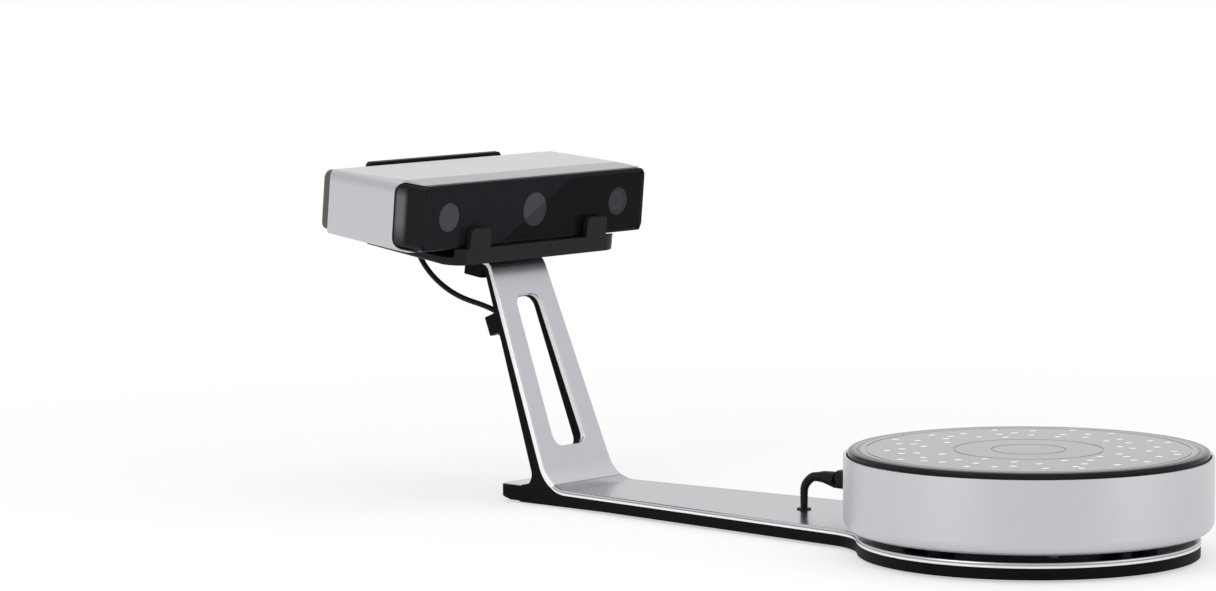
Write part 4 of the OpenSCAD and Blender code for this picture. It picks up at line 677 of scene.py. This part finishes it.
def spaced(points, step):
    """Points at even steps along a line."""
    found, left = [points[0]], step
    for start, end in zip(points, points[1:]):
        length = (end - start).length
        while left <= length:
            found.append(start.lerp(end, left / length))
            left += step
        left -= length
    return found


def sleeve_line(points):
    """Closely spaced points of the lead's last rise, on to the end of its plug's boot."""
    rise = [point for point in points if point.x > PLATTER_AXIS + SLEEVE_BEYOND_X * MM
            and point.z > SLEEVE_FROM_Z * MM]
    start = Vector((rise[0].x, rise[0].y, SLEEVE_FROM_Z * MM))
    end = Vector(BOOT_END) * MM + Vector((PLATTER_AXIS, 0, 0))
    return spaced([start] + rise + [end], SLEEVE_RIB * MM / RINGS_PER_RIB)


def sleeve_radius(line, i):
    """Radius in millimetres of the ribbed sleeve, which widens into the plug's smooth boot."""
    boot = (line[i].x - PLATTER_AXIS) / MM - BOOT_FROM
    if boot > 0:
        first, last = BOOT_RADII
        return min(last, first + (last - first) * boot / (BOOT_END[0] - BOOT_FROM))
    groove = 0 if i % RINGS_PER_RIB < RINGS_PER_RIB / 2 else SLEEVE_GROOVE
    return SLEEVE_R + SLEEVE_WIDENING * i / len(line) - groove


# Operators

class SCANNER_OT_stage(bpy.types.Operator):
    """Make the floor, the soft lights, the background and the camera"""
    bl_idname = "scanner.stage"
    bl_label = "Stage"

    def execute(self, context):
        scene = context.scene
        scene.view_settings.view_transform = "Standard"
        make_camera(scene)
        make_world(scene)
        make_floor(scene, scene.scanner_colours.floor)
        make_lights(scene)
        return {"FINISHED"}


def make_camera(scene):
    """The photograph's camera."""
    forward = Vector((-sin(CAMERA_AZIMUTH) * cos(CAMERA_ELEVATION),
                      cos(CAMERA_AZIMUTH) * cos(CAMERA_ELEVATION), -sin(CAMERA_ELEVATION)))
    right = Vector((cos(CAMERA_AZIMUTH), sin(CAMERA_AZIMUTH), 0))
    up = right.cross(forward)
    turned_right = right * cos(CAMERA_ROLL) + up * sin(CAMERA_ROLL)
    turned_up = up * cos(CAMERA_ROLL) - right * sin(CAMERA_ROLL)
    data = bpy.data.cameras.new("camera")
    data.sensor_width = SENSOR_WIDTH
    data.lens = FOCAL_PIXELS / PHOTO_WIDTH * SENSOR_WIDTH
    data.shift_x, data.shift_y = CAMERA_SHIFT
    data.clip_end = 100
    camera = bpy.data.objects.new("camera", data)
    turn = Matrix((turned_right, turned_up, -forward)).transposed().to_4x4()
    camera.matrix_world = Matrix.Translation(CAMERA_PLACE) @ turn
    scene.collection.objects.link(camera)
    scene.camera = camera


def make_world(scene):
    """White behind the object and in its reflections, and soft grey light from all round."""
    world = bpy.data.worlds.new("soft_room")
    scene.world = world
    room = Finish("soft_room", owner=world)
    path = "ShaderNodeLightPath"
    seen = room.node(path, output="Is Camera Ray").largest(
        room.node(path, output="Is Transmission Ray"))
    glossy = room.node(path, output="Is Glossy Ray") * (1.0 - seen)
    way = room.node("ShaderNodeTexCoord", output="Generated")
    toward = (sin(CAMERA_AZIMUTH), -cos(CAMERA_AZIMUTH), -0.25)
    behind = room.node("ShaderNodeVectorMath", {"operation": "DOT_PRODUCT"},
                       {0: way, 1: toward}, output="Value")
    mirrored = ROOM_MIRRORED - behind * ROOM_FALL
    strength = ROOM_LIGHT + glossy * (mirrored - ROOM_LIGHT) + seen * (1.0 - ROOM_LIGHT)
    background = room.node("ShaderNodeBackground",
                           inputs={"Color": rgba((1, 1, 1)), "Strength": strength})
    room.node("ShaderNodeOutputWorld", inputs={"Surface": background})


def make_floor(scene, tint):
    """A wide pale floor that fades into the white background."""
    mesh = bmesh.new()
    bmesh.ops.create_grid(mesh, x_segments=4, y_segments=4, size=30)
    data = bpy.data.meshes.new("floor")
    mesh.to_mesh(data)
    mesh.free()
    finish = Finish("pale_floor")
    distance = finish.node("ShaderNodeVectorMath", {"operation": "LENGTH"},
                           {0: finish.place()}, output="Value")
    path = "ShaderNodeLightPath"
    seen = finish.node(path, output="Is Camera Ray").largest(
        finish.node(path, output="Is Glossy Ray"))
    far = ((distance - FLOOR_FADE_FROM) / FLOOR_FADE_OVER).clamped()
    cloud = finish.noise(2, 2)
    base = finish.blend(cloud, shade(tint, 0.99), shade(tint, 1.01))
    lit = finish.node("ShaderNodeBsdfDiffuse", inputs={"Color": base, "Roughness": 0.0})
    white = finish.node("ShaderNodeEmission", inputs={"Color": rgba((1, 1, 1)), "Strength": 1.0})
    factor = seen * (far * (1.0 - FLOOR_WHITE) + FLOOR_WHITE)
    mixed = finish.node("ShaderNodeMixShader", inputs={0: factor, 1: lit, 2: white})
    finish.node("ShaderNodeOutputMaterial", inputs={"Surface": mixed})
    data.materials.append(finish.owner)
    floor = bpy.data.objects.new("floor", data)
    scene.collection.objects.link(floor)


def make_lights(scene):
    """Large soft lights: one overhead, one on each side of the camera."""
    middle = Vector((0, 0, 0.09))
    toward_camera = CAMERA_AZIMUTH - pi / 2
    for name, azimuth, elevation, distance, size, power in (
            ("overhead_softbox", radians(20), radians(80), 1.8, (2.2, 1.8), 9),
            ("left_softbox", toward_camera - radians(48), radians(26), 1.7, (0.9, 1.2), 9),
            ("right_softbox", toward_camera + radians(62), radians(20), 1.7, (1.1, 1.4), 4)):
        data = bpy.data.lights.new(name, "AREA")
        data.shape = "RECTANGLE"
        data.size, data.size_y = size
        data.energy = power
        lamp = bpy.data.objects.new(name, data)
        away = Vector((cos(elevation) * cos(azimuth), cos(elevation) * sin(azimuth),
                       sin(elevation)))
        lamp.matrix_world = (Matrix.Translation(middle + away * distance)
                             @ away.to_track_quat("Z", "Y").to_matrix().to_4x4())
        scene.collection.objects.link(lamp)


class SCANNER_OT_stand(bpy.types.Operator):
    """Dress the stand: core casting, silver plate and skin, heel, feet and screws"""
    bl_idname = "scanner.stand"
    bl_label = "Stand"

    def execute(self, context):
        sizes = context.scene.scanner_sizes
        softened("stand_frame", sizes.fine_edge, "black_casting")
        softened_sheet("base_plate", sizes.metal_edge, "plate_silver", "painted_light_and_shade_side", (1, 1, 0))
        softened_sheet("upright_skin", sizes.metal_edge, "silver_metal", "painted_highlight_edge",
                       (0, 1, 0))
        softened("heel_plate", sizes.fine_edge, "silver_metal")
        softened("clamp_block", sizes.moulded_edge, "black_casting")
        softened("lead_clip", sizes.moulded_edge, "black_casting")
        softened("heel_pad", sizes.fine_edge, "rubber")
        softened("disc_feet", sizes.fine_edge, "rubber")
        dress("channel_cover", "black_casting")
        dress("plate_screws", "steel")
        dress("skin_screws", "steel")
        return {"FINISHED"}


class SCANNER_OT_cradle(bpy.types.Operator):
    """Dress the cradle that holds the scan head, with its pads and bolts"""
    bl_idname = "scanner.cradle"
    bl_label = "Cradle"

    def execute(self, context):
        softened("cradle", context.scene.scanner_sizes.moulded_edge, "black_plastic")
        dress("cradle_pads", "rubber")
        dress("cradle_screws", "steel")
        return {"FINISHED"}


class SCANNER_OT_lead(bpy.types.Operator):
    """Make the signal lead along its route, with its plugs and grommet"""
    bl_idname = "scanner.lead"
    bl_label = "Signal lead"

    def execute(self, context):
        sizes = context.scene.scanner_sizes
        points = lead_points(sizes.lead_steps)
        line = bpy.data.curves.new("signal_lead_jacket", "CURVE")
        line.dimensions = "3D"
        line.bevel_depth = sizes.lead_diameter / 2
        line.bevel_resolution = 6
        line.use_fill_caps = True
        spline = line.splines.new("POLY")
        spline.points.add(len(points) - 1)
        for spot, point in zip(spline.points, points):
            spot.co = (*point, 1)
        spline.use_smooth = True
        line.materials.append(finishes["cable_black"])
        jacket = bpy.data.objects.new("signal_lead_jacket", line)
        context.scene.collection.objects.link(jacket)
        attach(jacket, "root")
        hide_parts("signal_lead")
        middle = sleeve_line(points)
        radii = [sleeve_radius(middle, i) * MM for i in range(len(middle))]
        sleeve = add_piece("lead_sleeve", swept_tube(middle, radii), [], "cable_black")
        shade_by_angle(sleeve, 50)
        softened("turntable_plug", sizes.fine_edge, "cable_black")
        softened("head_plug", sizes.fine_edge, "cable_black")
        softened("lead_grommet", sizes.fine_edge, "cable_black")
        return {"FINISHED"}


class SCANNER_OT_head(bpy.types.Operator):
    """Dress the scan head: shell, bezel, front panel, windows and rear cover"""
    bl_idname = "scanner.head"
    bl_label = "Scan head"

    def execute(self, context):
        sizes = context.scene.scanner_sizes
        softened("head_shell", sizes.shell_edge, "shell_paint")
        softened("front_bezel", sizes.fine_edge, "bezel_black")
        softened("rear_cover", sizes.moulded_edge, "grey_plastic")
        dress("front_panel", "gloss_black")
        for window in ("left_window", "projector_window", "right_window"):
            dress(window, "smoked_glass")
        softened("power_button", sizes.fine_edge, "inner_black", "button")
        for socket in ("lead_socket", "power_socket"):
            dress(socket, "inner_black")
        dress("usb_socket", "steel")
        dress("button_switch", "black_plastic")
        dress("rear_screws", "steel")
        return {"FINISHED"}


class SCANNER_OT_optics(bpy.types.Operator):
    """Dress what the scan head holds: bench, cameras, projector, board and fan"""
    bl_idname = "scanner.optics"
    bl_label = "Inside the head"

    def execute(self, context):
        for node in ("optical_bench", "heat_sink"):
            dress(node, "inner_aluminium")
        for node in ("left_camera", "right_camera", "camera_lenses", "projector",
                     "projector_lens"):
            dress(node, "inner_black")
        for node in ("fan_frame", "fan_rotor"):
            dress(node, "black_plastic")
        dress("main_board", "circuit_board")
        return {"FINISHED"}


class SCANNER_OT_turntable(bpy.types.Operator):
    """Dress the turntable: drum, pan, feet, platter and its marker dots"""
    bl_idname = "scanner.turntable"
    bl_label = "Turntable"

    def execute(self, context):
        sizes = context.scene.scanner_sizes
        softened("drum", sizes.fine_edge, "silver_paint")
        softened("platter", sizes.fine_edge, "platter_black", "platter")
        dress("marker_dots", "dot_white")
        dress("turntable_pan", "black_plastic")
        dress("turntable_feet", "rubber")
        dress("pan_screws", "inner_black")
        return {"FINISHED"}


class SCANNER_OT_drive(bpy.types.Operator):
    """Dress the drive under the platter: hub, bush, gears, motor and board"""
    bl_idname = "scanner.drive"
    bl_label = "Drive"

    def execute(self, context):
        for node in ("platter_hub", "hub_screws", "retaining_ring", "thrust_washer",
                     "motor_bracket", "drive_motor", "reduction_pin"):
            dress(node, "steel")
        for node in ("spindle_bush", "motor_pinion"):
            dress(node, "brass")
        for node in ("platter_gear", "reduction_gear"):
            dress(node, "white_nylon")
        dress("control_board", "circuit_board")
        dress("turntable_socket", "inner_black")
        return {"FINISHED"}


STEPS = (SCANNER_OT_stage, SCANNER_OT_stand, SCANNER_OT_cradle, SCANNER_OT_lead,
         SCANNER_OT_head, SCANNER_OT_optics, SCANNER_OT_turntable, SCANNER_OT_drive)


class SCANNER_PT_panel(bpy.types.Panel):
    """The scanner's steps, sizes and colours"""
    bl_idname = "SCANNER_PT_panel"
    bl_label = "Desktop 3D scanner"
    bl_space_type = "VIEW_3D"
    bl_region_type = "UI"
    bl_category = "Scanner"

    def draw(self, context):
        for step in STEPS:
            self.layout.operator(step.bl_idname)
        for group in (context.scene.scanner_sizes, context.scene.scanner_colours):
            for name in group.__annotations__:
                self.layout.prop(group, name)


CLASSES = (ScannerSizes, ScannerColours, *STEPS, SCANNER_PT_panel)
finishes = {}


def register():
    for group in CLASSES:
        bpy.utils.register_class(group)
    bpy.types.Scene.scanner_sizes = PointerProperty(type=ScannerSizes)
    bpy.types.Scene.scanner_colours = PointerProperty(type=ScannerColours)


def unregister():
    del bpy.types.Scene.scanner_colours
    del bpy.types.Scene.scanner_sizes
    for group in reversed(CLASSES):
        bpy.utils.unregister_class(group)


def main():
    """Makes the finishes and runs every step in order."""
    register()
    finishes.update(make_finishes(bpy.context.scene.scanner_colours))
    for step in STEPS:
        group, name = step.bl_idname.split(".")
        getattr(getattr(bpy.ops, group), name)()


if __name__ == "__main__":
    main()
